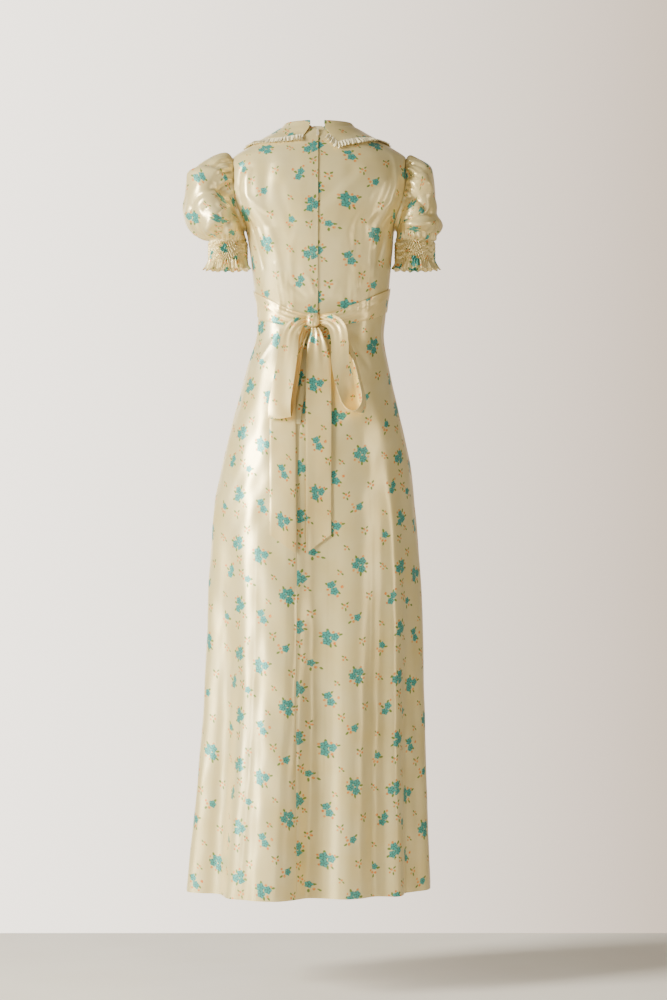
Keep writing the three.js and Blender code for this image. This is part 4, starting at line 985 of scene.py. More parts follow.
def make_skirt():
    def centre(side):
        return lambda z: seam_angle(z) + side * back_gap(z) / BODY["half"](z)

    def side_seam(side, back):
        lean = (-1 if back else 1) * SEAM_GAP / 2
        return lambda z: side * (np.pi / 2 + lean / BODY["front"](z))

    for side, name in ((1, "left"), (-1, "right")):
        grid = skirt_grid(centre(side), side_seam(side, True), SKIRT_COLUMNS["back"])
        flat_uv(grid, side > 0, PRINT_ANCHORS["skirt"][side])
        remember_edge(grid, side)
        if side < 0:
            draw_print_in(grid)
        sink_at_seams(grid, rows=(0,), cols=(0, -1))
        panel = cloth_object(f"back_skirt_{name}", [grid], SATIN)
        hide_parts(f"skirt_back_{name}")
    far_side = side_seam(-1, False)
    grid = skirt_grid(side_seam(1, False), lambda z: 2 * np.pi + far_side(z), SKIRT_COLUMNS["front"])
    sink_at_seams(flat_uv(grid), rows=(0,), cols=(0, -1))
    panel = cloth_object("front_skirt", [grid], SATIN)
    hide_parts("skirt_front")


# Sleeves: a puff from the armhole to the cuff, the shirred cuff, and its loose ruffled edge.

CUFF = {"top_z": -214, "bottom_z": -251, "edge_z": -268, "flare": 9.75, "flare_bend": 1.3}
# Waves of the cuff's loose edge, of two sizes: how many go round and how far they swing.
# They also make its hem rise and fall.
EDGE_WAVES = {"count": 10, "swing": 3.4, "small": 31, "small_swing": 1.7, "hem": 1.5}
# Shirring: ribs that zigzag between rows of elastic, and how deep each row pinches.
RIBS = {"count": 56, "rise": 3.8, "blunt": 1.5, "zigzag": 2.2, "grow_over": 0.12,
        "rows": 6, "first_row": 0.6, "row_pinch": 0.9, "row_reach": 0.04, "pinch_between": 0.3}
# The puff's cloth leaves the armhole outwards and away from its middle, and reaches the cuff from
# outside and above. These say how much of each way there is, and how far it is led at least.
PUFF = {"out": 0.85, "radial": 0.25, "radial_at_top": 0.55, "leave": 9, "leave_bend": 1.2,
        "away": 0.35, "away_outside": 0.65, "away_across": 0.6,
        "lift_inside": 0.8, "arrive": 7, "rear_at_top": 0.5,
        "step": 0.02, "level_from": (0.94, 0.06)}
CAP_PLEATS = {"count": 7, "rise": 3.4, "spread": 75 * DEGREE, "middle": 18 * DEGREE, "fade": 0.42}
FINE_PLEATS = {"closer": 2.3, "uneven": 1.1, "fade": 0.34, "rise": 2.4}
CUFF_PLEATS = {"uneven": 2, "from": (0.7, 0.3), "until": (0.97, 0.03), "rise": 1.7}
# Where along the puff its creases may lie, and the share of them that its inner side gets.
PLEATS_START_OVER = 0.1
HELD_BACK = {"from_armhole": 0.3, "from_cuff": 0.15, "inside": 0.25}
PUFF_RIPPLE = {"length": 150, "height": 0.8, "girth": 600}
# How unevenly the ribs stand: by how much, and turns round and down.
RIB_WANDER = [(0.9, 5, 0), (0.7, 13, 9)]
SLEEVE_FLAT = {"width": 390.0, "u": 40, "v": -20}  # the gathers at both ends draw the cut's width in
SLEEVES = {
    "left": {"side": 1, "x": 170, "y": 6, "radius": 34.5, "out": 60,
             "swell": 108, "swell_back": 58, "swell_front": 52, "lift": 0.24},
    "right": {"side": -1, "x": 183, "y": 6, "radius": 35.5, "out": 32,
              "swell": 38, "swell_back": 46, "swell_front": 48, "lift": 0.34},
}
# Creases of the puffs, angle 0 on the outside and 90 at the back, along 0 at the armhole, 1 at the cuff.
CREASES = {
    "left": [
        (76, 0.14, 12, 0.62, -7, 0.075),
        (62, 0.1, 30, 0.5, 3, 0.07),
        (95, 0.35, 20, 0.72, 4, 0.09),
        (-35, 0.4, 35, 0.44, 13, 0.15),
        (110, 0.3, 128, 0.85, -4, 0.08),
        (-70, 0.05, -20, 0.6, -5, 0.08),
        (-100, 0.4, -30, 0.8, 4, 0.1),
        (84, 0.12, 30, 0.66, -10, 0.045),
        (66, 0.08, 12, 0.44, 6, 0.045),
        (56, 0.06, 20, 0.3, -5, 0.035),
        (74, 0.5, 20, 0.86, -6, 0.045),
        (98, 0.36, 60, 0.8, 6, 0.05),
        (108, 0.5, 80, 0.92, -6, 0.04),
        (88, 0.62, 44, 0.94, 4, 0.035),
        (40, 0.2, -10, 0.5, -4, 0.035),
        (20, 0.55, -30, 0.8, 3.4, 0.045),
        (52, 0.66, 10, 0.9, 4, 0.04),
    ],
    "right": [
        (100, 0.05, 20, 0.56, 5, 0.075),
        (-35, 0.33, 35, 0.33, 18, 0.16),
        (80, 0.35, -5, 0.63, -6, 0.07),
        (95, 0.66, 40, 0.73, 8, 0.07),
        (20, 0.75, 0, 0.77, 4, 0.06),
        (-30, 0.92, 45, 0.92, -9, 0.07),
        (-60, 0.05, -15, 0.55, -5, 0.08),
        (-100, 0.45, -30, 0.8, 4, 0.1),
        (96, 0.1, 62, 0.54, -7, 0.04),
        (74, 0.08, 40, 0.46, 6, 0.045),
        (60, 0.1, 22, 0.42, -6, 0.035),
        (104, 0.56, 50, 0.64, -8, 0.04),
        (50, 0.64, 2, 0.69, -6, 0.035),
        (104, 0.68, 56, 0.75, 6, 0.04),
        (112, 0.84, 64, 0.87, -6, 0.04),
    ],
}
PER_DEGREE = 1 / 150  # shares of the sleeve's length for each degree round it
CREASE_SHARPNESS = 1.5  # 2 gives round folds, 1 gives a sharp edge
SLEEVE_COLUMNS = RIBS["count"] * 6
PUFF_ROWS = 50
CUFF_ROWS = 36
RUFFLE_ROWS = 10
ARMHOLE_GAP = 0.5
ARMHOLE_STEP = 4  # how far apart the points lie that give the edge's direction


def armhole(side):
    """The armhole's edge as a function of an angle: 0 at the shoulder, 90 behind, 180 at the armpit."""
    rows = slice(SIDE_SPANS, SIDE_SPANS + ARMHOLE_SPANS + 1)
    back, front = back_bodice_grid(side), front_bodice_grid(side)
    outer = np.concatenate([back.outer[rows, -1], front.outer[rows, -1][::-1], back.outer[rows, -1][:1]])
    inner = np.concatenate([back.inner[rows, -1], front.inner[rows, -1][::-1], back.inner[rows, -1][:1]])
    length = lengths(outer, 0)
    shoulder, total = length[ARMHOLE_SPANS], length[-1]
    middle = outer[:-1].mean(0)

    def at(angle):
        share = (angle / (2 * np.pi)) % 1
        behind, before = shoulder * (1 - 2 * share), total - (total - shoulder) * (2 * share - 1)
        place = np.where(share <= 0.5, behind, before)
        edge, back_face, after, ahead = (
            place_on(line, length, (place + step) % total)
            for line, step in ((outer, 0), (inner, 0), (outer, -ARMHOLE_STEP), (outer, ARMHOLE_STEP)))
        along = unit(ahead - after)
        normal = unit(edge - back_face)
        inward = unit(np.cross(along, normal))
        inward = np.where(np.sum(inward * (edge - middle), -1, keepdims=True) > 0, -inward, inward)
        return {"edge": edge, "inward": inward, "middle": middle}

    return at


def crease_rise(creases, angle, along):
    total = np.zeros(np.broadcast(angle, along).shape)
    for at, start, to, end, rise, reach in creases:
        off = line_distance(
            turned(angle) * PER_DEGREE, along, at * PER_DEGREE, start, to * PER_DEGREE, end)
        total += rise * np.exp(-(np.abs(off / reach) ** CREASE_SHARPNESS))
    return total


CLEAR_OF_BODICE = {"scale": 1.02, "gap": 3}


def beside_bodice(cloth, side):
    """Moves points of the cuff's loose edge out of the bodice's side, to lie just beside it."""
    x, y, z = (cloth.outer[..., k] for k in range(3))
    share = np.minimum(1, np.abs(y) / np.where(y > 0, BODY["back"](z), BODY["front"](z)))
    bodice_x = BODY["shift"](z) + side * BODY["half"](z) * np.sqrt(1 - share**2) * CLEAR_OF_BODICE["scale"]
    moved = np.maximum(0, (bodice_x - x) * side + CLEAR_OF_BODICE["gap"])
    for points in (cloth.outer, cloth.inner):
        points[..., 0] += side * moved
    return cloth


def around_arm(side, angle):
    """The level way out of a sleeve: at angle 0 outwards, at 90 to the back."""
    return xyz(side * np.cos(angle), np.sin(angle), 0)


def puff_place(size, hole, axis, angle, t):
    """The puff without its creases, by the angle and the share of the way from armhole to cuff."""
    side, start = size["side"], hole(angle)
    top = ((1 + np.cos(angle)) / 2)[..., None]
    behind = np.sin(angle) > 0
    rear = (np.sin(angle) ** 2 * np.where(behind, size["swell_back"], size["swell_front"]))[..., None]
    first = start["edge"] + start["inward"] * ARMHOLE_GAP
    radial = first - start["middle"]
    radial[..., 0] = 0
    radial = unit(radial)
    low = (1 - top) ** 2
    apart = radial * (PUFF["radial_at_top"] * top + PUFF["radial"]) * (1 - low)
    leave = unit(np.array([side * PUFF["out"], 0, 0]) + apart + start["inward"] * PUFF["out"] * low)
    last = axis + around_arm(side, angle) * size["radius"]
    last[..., 2] = CUFF["top_z"]
    away = PUFF["away"] + PUFF["away_outside"] * np.cos(angle) + PUFF["away_across"] * np.sin(angle) ** 2
    away = clamp01(away)[..., None]
    lift = np.array([0, 0, 1]) * mix(PUFF["lift_inside"], size["lift"], away)
    arrive = unit(around_arm(side, angle) * away + lift)
    control1 = first + leave * mix(PUFF["leave"], size["out"], top ** PUFF["leave_bend"])
    swell = PUFF["arrive"] + rear * (1 - top * PUFF["rear_at_top"]) + size["swell"] * top**2
    control2 = last + arrive * swell
    t = np.broadcast_to(t, angle.shape)[..., None]
    rest = 1 - t
    return rest**3 * first + 3 * rest**2 * t * control1 + 3 * rest * t**2 * control2 + t**3 * last


def grow(t, start, over):
    return ease((t - start) / over)


def puff_rise(name, side, angle, t):
    """How far pleats, creases and ripples lift the puff's cloth."""
    off = turned(angle) * DEGREE
    in_cap = np.exp(-(((off - CAP_PLEATS["middle"]) / CAP_PLEATS["spread"]) ** 4))
    turn = off * CAP_PLEATS["count"] / CAP_PLEATS["spread"] * np.pi
    pleats = np.cos(turn) * in_cap * (1 - ease(t / CAP_PLEATS["fade"])) * CAP_PLEATS["rise"]
    fine = np.cos(FINE_PLEATS["closer"] * turn + FINE_PLEATS["uneven"] * np.sin(3 * off))
    fine = fine * in_cap * (1 - ease(t / FINE_PLEATS["fade"])) * FINE_PLEATS["rise"]
    to_cuff = np.cos(RIBS["count"] / 2 * angle + CUFF_PLEATS["uneven"] * np.sin(3 * angle))
    to_cuff = to_cuff * grow(t, *CUFF_PLEATS["from"]) * CUFF_PLEATS["rise"]
    outside = HELD_BACK["inside"] + (1 - HELD_BACK["inside"]) * ((1 + np.cos(angle)) / 2) ** 0.5
    held = ease(t / HELD_BACK["from_armhole"]) * ease((1 - t) / HELD_BACK["from_cuff"]) * outside
    waver = ripple(
        angle, t * PUFF_RIPPLE["length"], SLEEVE_SEED + side, PUFF_RIPPLE["height"], PUFF_RIPPLE["girth"])
    rise = (pleats + fine) * ease(t / PLEATS_START_OVER) + crease_rise(CREASES[name], angle, t) * held
    return rise + to_cuff * (1 - grow(t, *CUFF_PLEATS["until"])) + waver * held


def rib_swell(angle, down):
    """How far the shirring stands out: uneven ribs, pinched by the rows of elastic."""
    lines = (np.arange(RIBS["rows"]) + RIBS["first_row"]) / RIBS["rows"]
    uneven = sum(by * np.sin(turns * angle + drop * down) for by, turns, drop in RIB_WANDER)
    zigzag = RIBS["zigzag"] * np.sin(np.pi * down * RIBS["rows"] + 2 * np.sin(7 * angle))
    ribs = (0.5 + 0.5 * np.cos(RIBS["count"] * angle + uneven + zigzag)) ** RIBS["blunt"]
    pinch = sum(bell((down - line) / RIBS["row_reach"]) for line in lines)
    between = RIBS["pinch_between"]
    swell = RIBS["rise"] * ribs - RIBS["row_pinch"] * pinch * (between + (1 - between) * ribs)
    return swell * ease(down / RIBS["grow_over"])


def make_sleeve(name):
    size = SLEEVES[name]
    side = size["side"]
    hole = armhole(side)
    axis = np.array([side * size["x"], size["y"], 0.0])

    angle, t = np.meshgrid(2 * np.pi * (shares(SLEEVE_COLUMNS) % 1), shares(PUFF_ROWS))
    step = PUFF["step"]
    outer = puff_place(size, hole, axis, angle, t)
    run = puff_place(size, hole, axis, angle + step, t) - puff_place(size, hole, axis, angle - step, t)
    after, ahead = np.minimum(1, t + step), np.maximum(0, t - step)
    fall = puff_place(size, hole, axis, angle, after) - puff_place(size, hole, axis, angle, ahead)
    normal = unit(np.cross(run, fall)) * -side
    normal = unit(mix(normal, around_arm(side, angle), grow(t, *PUFF["level_from"])[..., None]))
    puff = Cloth(outer + normal * puff_rise(name, side, angle, t)[..., None], normal)

    def ring(angles, z, radius):
        way = around_arm(side, angles)
        outer = axis + way * radius[..., None]
        outer[..., 2] = z
        return Cloth(outer, way)

    rib_angle, down = np.meshgrid(angle[0], shares(CUFF_ROWS)[1:])
    swell = rib_swell(rib_angle, down)
    cuff = ring(rib_angle, mix(CUFF["top_z"], CUFF["bottom_z"], down), size["radius"] + swell)
    loose_angle, loose = np.meshgrid(angle[0], shares(RUFFLE_ROWS)[1:])
    waves = np.sin(EDGE_WAVES["count"] * loose_angle) * EDGE_WAVES["swing"]
    small = np.sin(EDGE_WAVES["small"] * loose_angle + 2 * np.sin(4 * loose_angle))
    waves = waves + small * EDGE_WAVES["small_swing"]
    radius = size["radius"] + CUFF["flare"] * loose ** CUFF["flare_bend"] + waves * loose
    radius = radius + swell[-1:] * (1 - loose)
    shorter = np.cos(2 * EDGE_WAVES["count"] * loose_angle) * EDGE_WAVES["hem"] * loose
    edge_z = mix(CUFF["bottom_z"], CUFF["edge_z"], loose) + shorter
    edge = beside_bodice(ring(loose_angle, edge_z, radius), side)

    parts = (puff, cuff, edge)
    inner = np.concatenate([part.inner for part in parts])
    whole = Cloth(np.concatenate([part.outer for part in parts]), None, inner=inner)
    rows = whole.outer.shape[0]
    u = np.broadcast_to(shares(SLEEVE_COLUMNS) * SLEEVE_FLAT["width"] * -side, (rows, SLEEVE_COLUMNS + 1))
    v = -np.broadcast_to(lengths(whole.outer, 0)[:, [0]], u.shape)
    whole.uv = np.stack([u + SLEEVE_FLAT["u"], v + SLEEVE_FLAT["v"]], -1)
    sleeve = cloth_object(f"puff_sleeve_{name}", [whole], SATIN)
    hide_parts(f"sleeve_{name}", f"cuff_{name}")


# Collar

COLLAR_REACH = columns("along left right", [
    (0, 17, 31),
    (0.13, 20, 31),
    (0.22, 32, 35),
    (0.32, 50, 46),
    (0.42, 66, 62),
    (0.6, 58, 58),
    (0.8, 42, 42),
    (1, 31, 31),
])
# The stand and roll: how far each row lies out from the neck seam and up, and the way its right side
# faces, from outwards (0) over the top (90) to the neck (180).
COLLAR_STAND = [(-1, 1.1, 180), (-0.8, 5, 170), (2.2, 8.6, 95)]
COLLAR_ROLL = 7.5
COLLAR_ROLL_LIFT = 5
COLLAR_LIFT = 2.8
COLLAR_BACK_END = {"left": (0.07, 0.1), "right": (0.05, 0.12)}
COLLAR_FRONT_END = 0.985
COLLAR_FRONT_SLANT = 0.14
LOWEST_SHOULDER = -170.0  # the collar and its trim lie above this height
HALVINGS = 30  # of the span in which a place is searched
NECK_STEP = 0.01  # the share of the neck seam over which its direction is taken
NECK_SPANS = {"back": 60, "front": 80}
COLLAR_COLUMNS = 150
COLLAR_ROWS = 44
COLLAR_RINGS = (0, 0.12, 0.3, 0.45, 0.65, 0.82, 1)  # shares of the collar's width
COLLAR_WAVER = [(0.5, 19, 4), (0.35, 43, -2)]  # rise, turns along the collar and turns across it
RUFFLE = {"width": 14, "wall": 0.6, "pitch": 6.6, "rise": 1.8, "lift": 4.7, "spacing": 0.75, "rows": 8,
          "edge_spans": 120, "end_spans": 11, "back_from": 0.35, "front_from": 0.55}
# The trim's waves are uneven: how far their phase and height wander, and over what length.
RUFFLE_PHASE = [(2.4, 15), (1.8, 6.1)]
RUFFLE_HEIGHT = [(0.4, 11), (0.3, 4.7)]
RUFFLE_WIDTH = {"with_waves": 1.3, "wander": 0.8, "over": 9}
# The waves grow outwards, with smaller ones on them.
RUFFLE_WAVES = {"least": 0.9, "growth": 0.7, "small": 0.35, "closer": 2.3, "lean": 4}
CORNER_TURNS = np.linspace(0.1, 0.9, 9)  # the shares of a corner's turn at which the trim fans out
REACH_AT = {name: smooth(COLLAR_REACH["along"], COLLAR_REACH[name]) for name in ("left", "right")}


def from_above(x, y):
    """Where the worn surface is above a place in plan, as an angle and a height."""
    low, high = np.full(np.shape(x), LOWEST_SHOULDER), np.zeros(np.shape(x))
    for _ in range(HALVINGS):
        z = (low + high) / 2
        px = (x - BODY["shift"](z)) / BODY["half"](z)
        py = y / np.where(y > 0, BODY["back"](z), BODY["front"](z))
        wanted = np.arctan2(px, py)
        fuller = BODY["square"](z)
        angle = wanted
        for _ in range(3):
            across, deep = section(angle, fuller)
            miss = wanted - np.arctan2(across, deep)
            angle = angle + np.arctan2(np.sin(miss), np.cos(miss))
        outside = np.hypot(px, py) > np.hypot(across, deep)
        low, high = np.where(outside, low, z), np.where(outside, z, high)
    return angle, (low + high) / 2


def neckline(side):
    """The neck seam on one side from centre back to centre front, by its share of the length."""
    back_angle = side * np.pi / 2 * shares(NECK_SPANS["back"])
    back = surface(back_angle, 0 * back_angle)
    turn = np.pi / 2 * shares(NECK_SPANS["front"])[1:]
    z = NECK_FRONT_Z * np.sin(turn)
    x = NECK_HALF * np.cos(turn)
    front = surface(side * (np.pi - np.arcsin(clamp01(x / BODY["half"](z)))), z)
    line = np.concatenate([back, front])
    length = lengths(line, 0)
    length /= length[-1]

    def at(along):
        along = clamp01(along)
        after, ahead = (place_on(line, length, clamp01(along + step)) for step in (-NECK_STEP, NECK_STEP))
        run, place = ahead - after, place_on(line, length, along)
        out = unit(xyz(run[..., 1], -run[..., 0], 0)) * -side
        return place, np.where(np.sum(out * place, -1, keepdims=True) < 0, -out, out)

    return at


def collar_along(name, u, w):
    at_neck, at_edge = COLLAR_BACK_END[name]
    front = COLLAR_FRONT_END - COLLAR_FRONT_SLANT * w**1.5
    return mix(mix(at_neck, at_edge, w), front, u)


def fall_distance(name, along, w):
    return mix(COLLAR_ROLL, REACH_AT[name](along), w)


def make_collar(name, side):
    line = neckline(side)
    u = shares(COLLAR_COLUMNS)
    rows = []
    for out_by, up, facing in COLLAR_STAND:
        place, out = line(collar_along(name, u, 0 * u))
        turn = facing * DEGREE
        outer = place + out * out_by
        outer[..., 2] += up
        rows.append(Cloth(outer, unit(out * math.cos(turn) + np.array([0, 0, math.sin(turn)]))))
    for w in COLLAR_RINGS:
        along = collar_along(name, u, w)
        place, out = line(along)
        spot = place + out * fall_distance(name, along, w)[:, None]
        waver = sum(rise * np.sin(long * u + wide * w) * ease(w) for rise, long, wide in COLLAR_WAVER)
        lift = mix(COLLAR_ROLL_LIFT, COLLAR_LIFT, ease(w * 1.5)) + waver
        rows.append(on_surface(*from_above(spot[:, 0], spot[:, 1]), lift))
    outer, inner = (
        curve_rows(np.stack(points), shares(COLLAR_ROWS))
        for points in ([row.outer for row in rows], [row.inner for row in rows]))
    grid = flat_uv(Cloth(outer, None, inner=inner), side > 0)
    collar = cloth_object(f"collar_half_{name}", [grid], SATIN)
    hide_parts(f"collar_{name}")
    return collar


def part_turned(first, last, share):
    """A way in plan, a share of the turn from one way to another."""
    turn = math.atan2(first[0] * last[1] - first[1] * last[0], first @ last) * share
    c, s = math.cos(turn), math.sin(turn)
    return np.array([[first[0] * c - first[1] * s, first[0] * s + first[1] * c]])


def collar_ruffle(name, side):
    """The gathered trim sewn round the collar's edge. The right half's also runs up its back end."""
    line = neckline(side)

    def plan(u, w):
        along = collar_along(name, u, w)
        place, out = line(along)
        return (place + out * fall_distance(name, along, w)[:, None])[:, :2]

    end, along_edge = shares(RUFFLE["end_spans"]), shares(RUFFLE["edge_spans"])
    back_end = plan(0 * end, mix(RUFFLE["back_from"], 1, end))
    edge = plan(along_edge, np.ones(len(along_edge)))
    front_end = plan(np.ones(len(end)), mix(1, RUFFLE["front_from"], end))
    runs = ([back_end] if name == "right" else []) + [edge, front_end]
    points, outs = [], []
    for run in runs:
        length = lengths(run, 0)
        count = max(3, int(length[-1] / RUFFLE["spacing"]))
        spots = place_on(run, length, np.linspace(0, length[-1], count))
        ways = np.gradient(spots, axis=0)
        out = unit(np.stack([ways[:, 1], -ways[:, 0]], -1)) * (-1 if side > 0 else 1)
        if points:
            first = outs[-1][-1]
            for share in CORNER_TURNS:
                points.append(points[-1][-1:])
                outs.append(part_turned(first, out[0], share))
        points.append(spots)
        outs.append(out)
    points, outs = np.concatenate(points), np.concatenate(outs)
    steps = np.linalg.norm(np.diff(points, axis=0), axis=1)
    steps = np.where(steps < 0.01, RUFFLE["spacing"], steps)
    s = np.insert(np.cumsum(steps), 0, 0)
    phase = 2 * np.pi * s / RUFFLE["pitch"] + sum(by * np.sin(s / over) for by, over in RUFFLE_PHASE)
    uneven = RUFFLE_WAVES["least"] + sum(by * np.sin(s / over) for by, over in RUFFLE_HEIGHT)
    rows = []
    for w in shares(RUFFLE["rows"]):
        angle, z = from_above(points[:, 0], points[:, 1])
        normal = normal_at(angle, z)
        slope = (normal[:, 0] * outs[:, 0] + normal[:, 1] * outs[:, 1]) / normal[:, 2]
        wander = RUFFLE_WIDTH["wander"] * np.sin(s / RUFFLE_WIDTH["over"])
        width = RUFFLE["width"] + (RUFFLE_WIDTH["with_waves"] * np.sin(phase + 1) + wander) * w
        distance = SEAM_GAP + width * w / np.hypot(1, slope)
        spot = points + outs * distance[:, None]
        small = RUFFLE_WAVES["small"] * np.sin(RUFFLE_WAVES["closer"] * phase + RUFFLE_WAVES["lean"] * w)
        wave = RUFFLE["rise"] * w ** RUFFLE_WAVES["growth"] * (np.sin(phase) * uneven + small)
        lift = mix(COLLAR_LIFT, RUFFLE["lift"], w) + wave
        rows.append(on_surface(*from_above(spot[:, 0], spot[:, 1]), lift, RUFFLE["wall"]))
    grid = Cloth(np.stack([r.outer for r in rows]), None, inner=np.stack([r.inner for r in rows]))
    grid.uv = np.stack([np.broadcast_to(s, grid.outer.shape[:2]), lengths(grid.outer, 0)], -1)
    trim = cloth_object(f"collar_frill_{name}", [grid], TRIM_CLOTH)
    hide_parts(f"collar_ruffle_{name}")
    return trim


# Ties and bow

TIES = {
    "left": columns("along z width", [
        (0, -331, 48), (0.3, -341, 46), (0.6, -355, 38), (0.85, -366, 26), (1, -369, 18)]),
    "right": columns("along z width", [
        (0, -325, 44), (0.3, -336, 44), (0.6, -352, 38), (0.85, -365, 27), (1, -369, 18)]),
}
TIE_REACH = 88  # degrees from centre back to where a tie's band comes out of the side seam
TIE_UNDER_KNOT = 4.0
TIE_LIFT = {"least": 2.8, "to_knot": 1.4}
# Gathers towards the knot, and one long fold.
TIE_GATHER = {"count": 3.2, "lean": 0.3, "from": (0.45, 0.5), "rise": 1.5}
TIE_FOLD = {"rise": 0.8, "middle": 0.22, "lean": 0.25, "reach": 0.08, "grow_over": 0.3}
TIE_FLAT = (31, 17)  # place of the band's corner on the print
BAND_SPANS = {"tie": (110, 24), "loop": (120, 24), "tail": (150, 28)}  # along and across
EDGE_DIP = {"tie": (-0.5, 0.05), "tail": (-0.5, 0.045)}  # how far a band's edges turn in, over which share
KNOT = {"x": 9, "z": -369, "half_width": 12.5, "half_depth": 9, "half_height": 13,
        "rows": 48, "columns": 72, "round": 0.75, "across": 0.8, "up": 0.7,
        "within": 0.96, "clear": 1.05, "above_tie": 3, "upright_share": 0.1, "flat": (0.04, 0.425)}
# The knot's wraps: rise, and the waves' turns across and up and where they start.
KNOT_WRAPS = [(0.05, 11, 2.2, 0), (0.03, 23, -1.5, 1)]
# Bow loops: the band's middle line as X, height and distance out, its width, and which way the width
# points: a turn of the X axis towards +Y and a tilt towards +Z.
LOOPS = {
    "left": columns("x z out width turn tilt", [
        (22, -367, 13, 18, 10, 84),
        (36, -374, 21, 26, 4, 62),
        (50, -394, 24, 33, -6, 22),
        (55, -430, 24, 37, -12, 6),
        (62, -475, 23, 40, -16, 2),
        (70, -522, 21, 43, -18, -4),
        (71, -546, 18, 44, -18, -5),
        (69, -552, 14, 44, -18, -4),
        (64, -536, 9.5, 42, -18, 0),
        (52, -480, 9.5, 36, -17, 4),
        (43, -430, 9.5, 30, -15, 8),
        (34, -398, 9, 20, -6, 40),
        (25, -380, 7, 13, 4, 78),
    ]),
    "right": columns("x z out width turn tilt", [
        (-4, -367, 13, 16, -8, 96),
        (-20, -369, 20, 24, -12, 112),
        (-36, -383, 26, 32, -10, 158),
        (-41, -412, 27, 32, -2, 176),
        (-42, -450, 25, 34, 8, 180),
        (-54, -500, 21, 40, 22, 182),
        (-64, -534, 23, 40, 40, 184),
        (-78, -541, 26, 40, 62, 182),
        (-87, -520, 26, 38, 76, 180),
        (-79, -482, 22, 30, 78, 178),
        (-67, -440, 16, 22, 74, 170),
        (-48, -402, 8, 16, 40, 140),
        (-22, -380, 7, 12, 8, 108),
        (-6, -374, 7, 10, 0, 96),
    ]),
}
TAILS = {
    "left": columns("x z width lift", [
        (21, -385, 15, 4.2), (34, -405, 26, 4.2), (50, -435, 38, 4.2), (60, -480, 45, 4.2),
        (64, -560, 47, 3.8), (64, -680, 47, 3.2), (64, -767, 47, 3.2)]),
    "right": columns("x z width lift", [
        (4, -384, 14, 12), (1, -398, 24, 11), (0, -420, 38, 8), (-1.5, -450, 45, 5),
        (-1.5, -520, 47, 4.2), (-1.5, -640, 47, 3.4), (-1.5, -767, 47, 3.2)]),
}
TAIL_POINT = 34  # how much longer the inner corner of a tie's end is
# Puckers at the knot, a cupped band, and a waver that runs round the loop and across it.
LOOP_FOLDS = {"puckers": 3, "pucker_rise": 1.6, "pucker_reach": 0.14, "cup": 1.2,
              "waver": 0.7, "waver_round": 2.3, "waver_across": 0.9}
TAIL_GATHER = {"count": 2.6, "rise": 1.4, "fade": 0.22}
TAIL_WAVER = {"rise": 0.9, "down": 1.6, "across": 0.4, "start": 0.2, "grow_over": 0.3}
TAIL_CLEAR = 0.6  # added to the tails' lift, so that their gathers stay off the skirt
LOOP_FLAT = {"width": 46, "u": 90}


def band_grid(kind):
    """Shares along a band, and shares across it from its middle."""
    along, across = BAND_SPANS[kind]
    return np.meshgrid(shares(along), np.linspace(-0.5, 0.5, across + 1), indexing="ij")


def edge_dip(kind, w):
    rise, reach = EDGE_DIP[kind]
    return rise * bell((0.5 - np.abs(w)) / reach)


def angle_at(x, z):
    """The angle on the worn surface at which it passes a sideways place at a height."""
    shape = np.broadcast(x, z).shape
    low, high = np.full(shape, -89 * DEGREE), np.full(shape, 89 * DEGREE)
    for _ in range(26):
        middle = (low + high) / 2
        short = surface(middle, z + 0 * middle)[..., 0] < x
        low, high = np.where(short, middle, low), np.where(short, high, middle)
    return (low + high) / 2


def make_tie_band(name, side):
    middle_z = smooth(TIES[name]["along"], TIES[name]["z"])
    width = smooth(TIES[name]["along"], TIES[name]["width"])
    under_knot = KNOT["x"] + side * TIE_UNDER_KNOT
    knot_angle = float(angle_at(np.array([under_knot]), np.array([float(KNOT["z"])]))[0])
    t, w = band_grid("tie")
    z = middle_z(t) + w * width(t)
    gather = np.cos(2 * np.pi * (w * TIE_GATHER["count"] + TIE_GATHER["lean"] * t))
    gather = gather * grow(t, *TIE_GATHER["from"]) * TIE_GATHER["rise"]
    fold = TIE_FOLD["rise"] * bell((w - TIE_FOLD["middle"] + TIE_FOLD["lean"] * t) / TIE_FOLD["reach"])
    fold = fold * ease(t / TIE_FOLD["grow_over"])
    lift = TIE_LIFT["least"] + TIE_LIFT["to_knot"] * t + gather + fold + edge_dip("tie", w)
    band = on_surface(mix(side * TIE_REACH * DEGREE, knot_angle, t), z, lift)
    u, v = lengths(band.outer, 0) * -side, lengths(band.outer, 1)
    band.uv = np.stack([u + TIE_FLAT[0], v + TIE_FLAT[1]], -1)
    tie = cloth_object(f"waist_tie_{name}", [band], TIE_SATIN_PAINTED_SHEEN)
    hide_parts(f"tie_{name}")


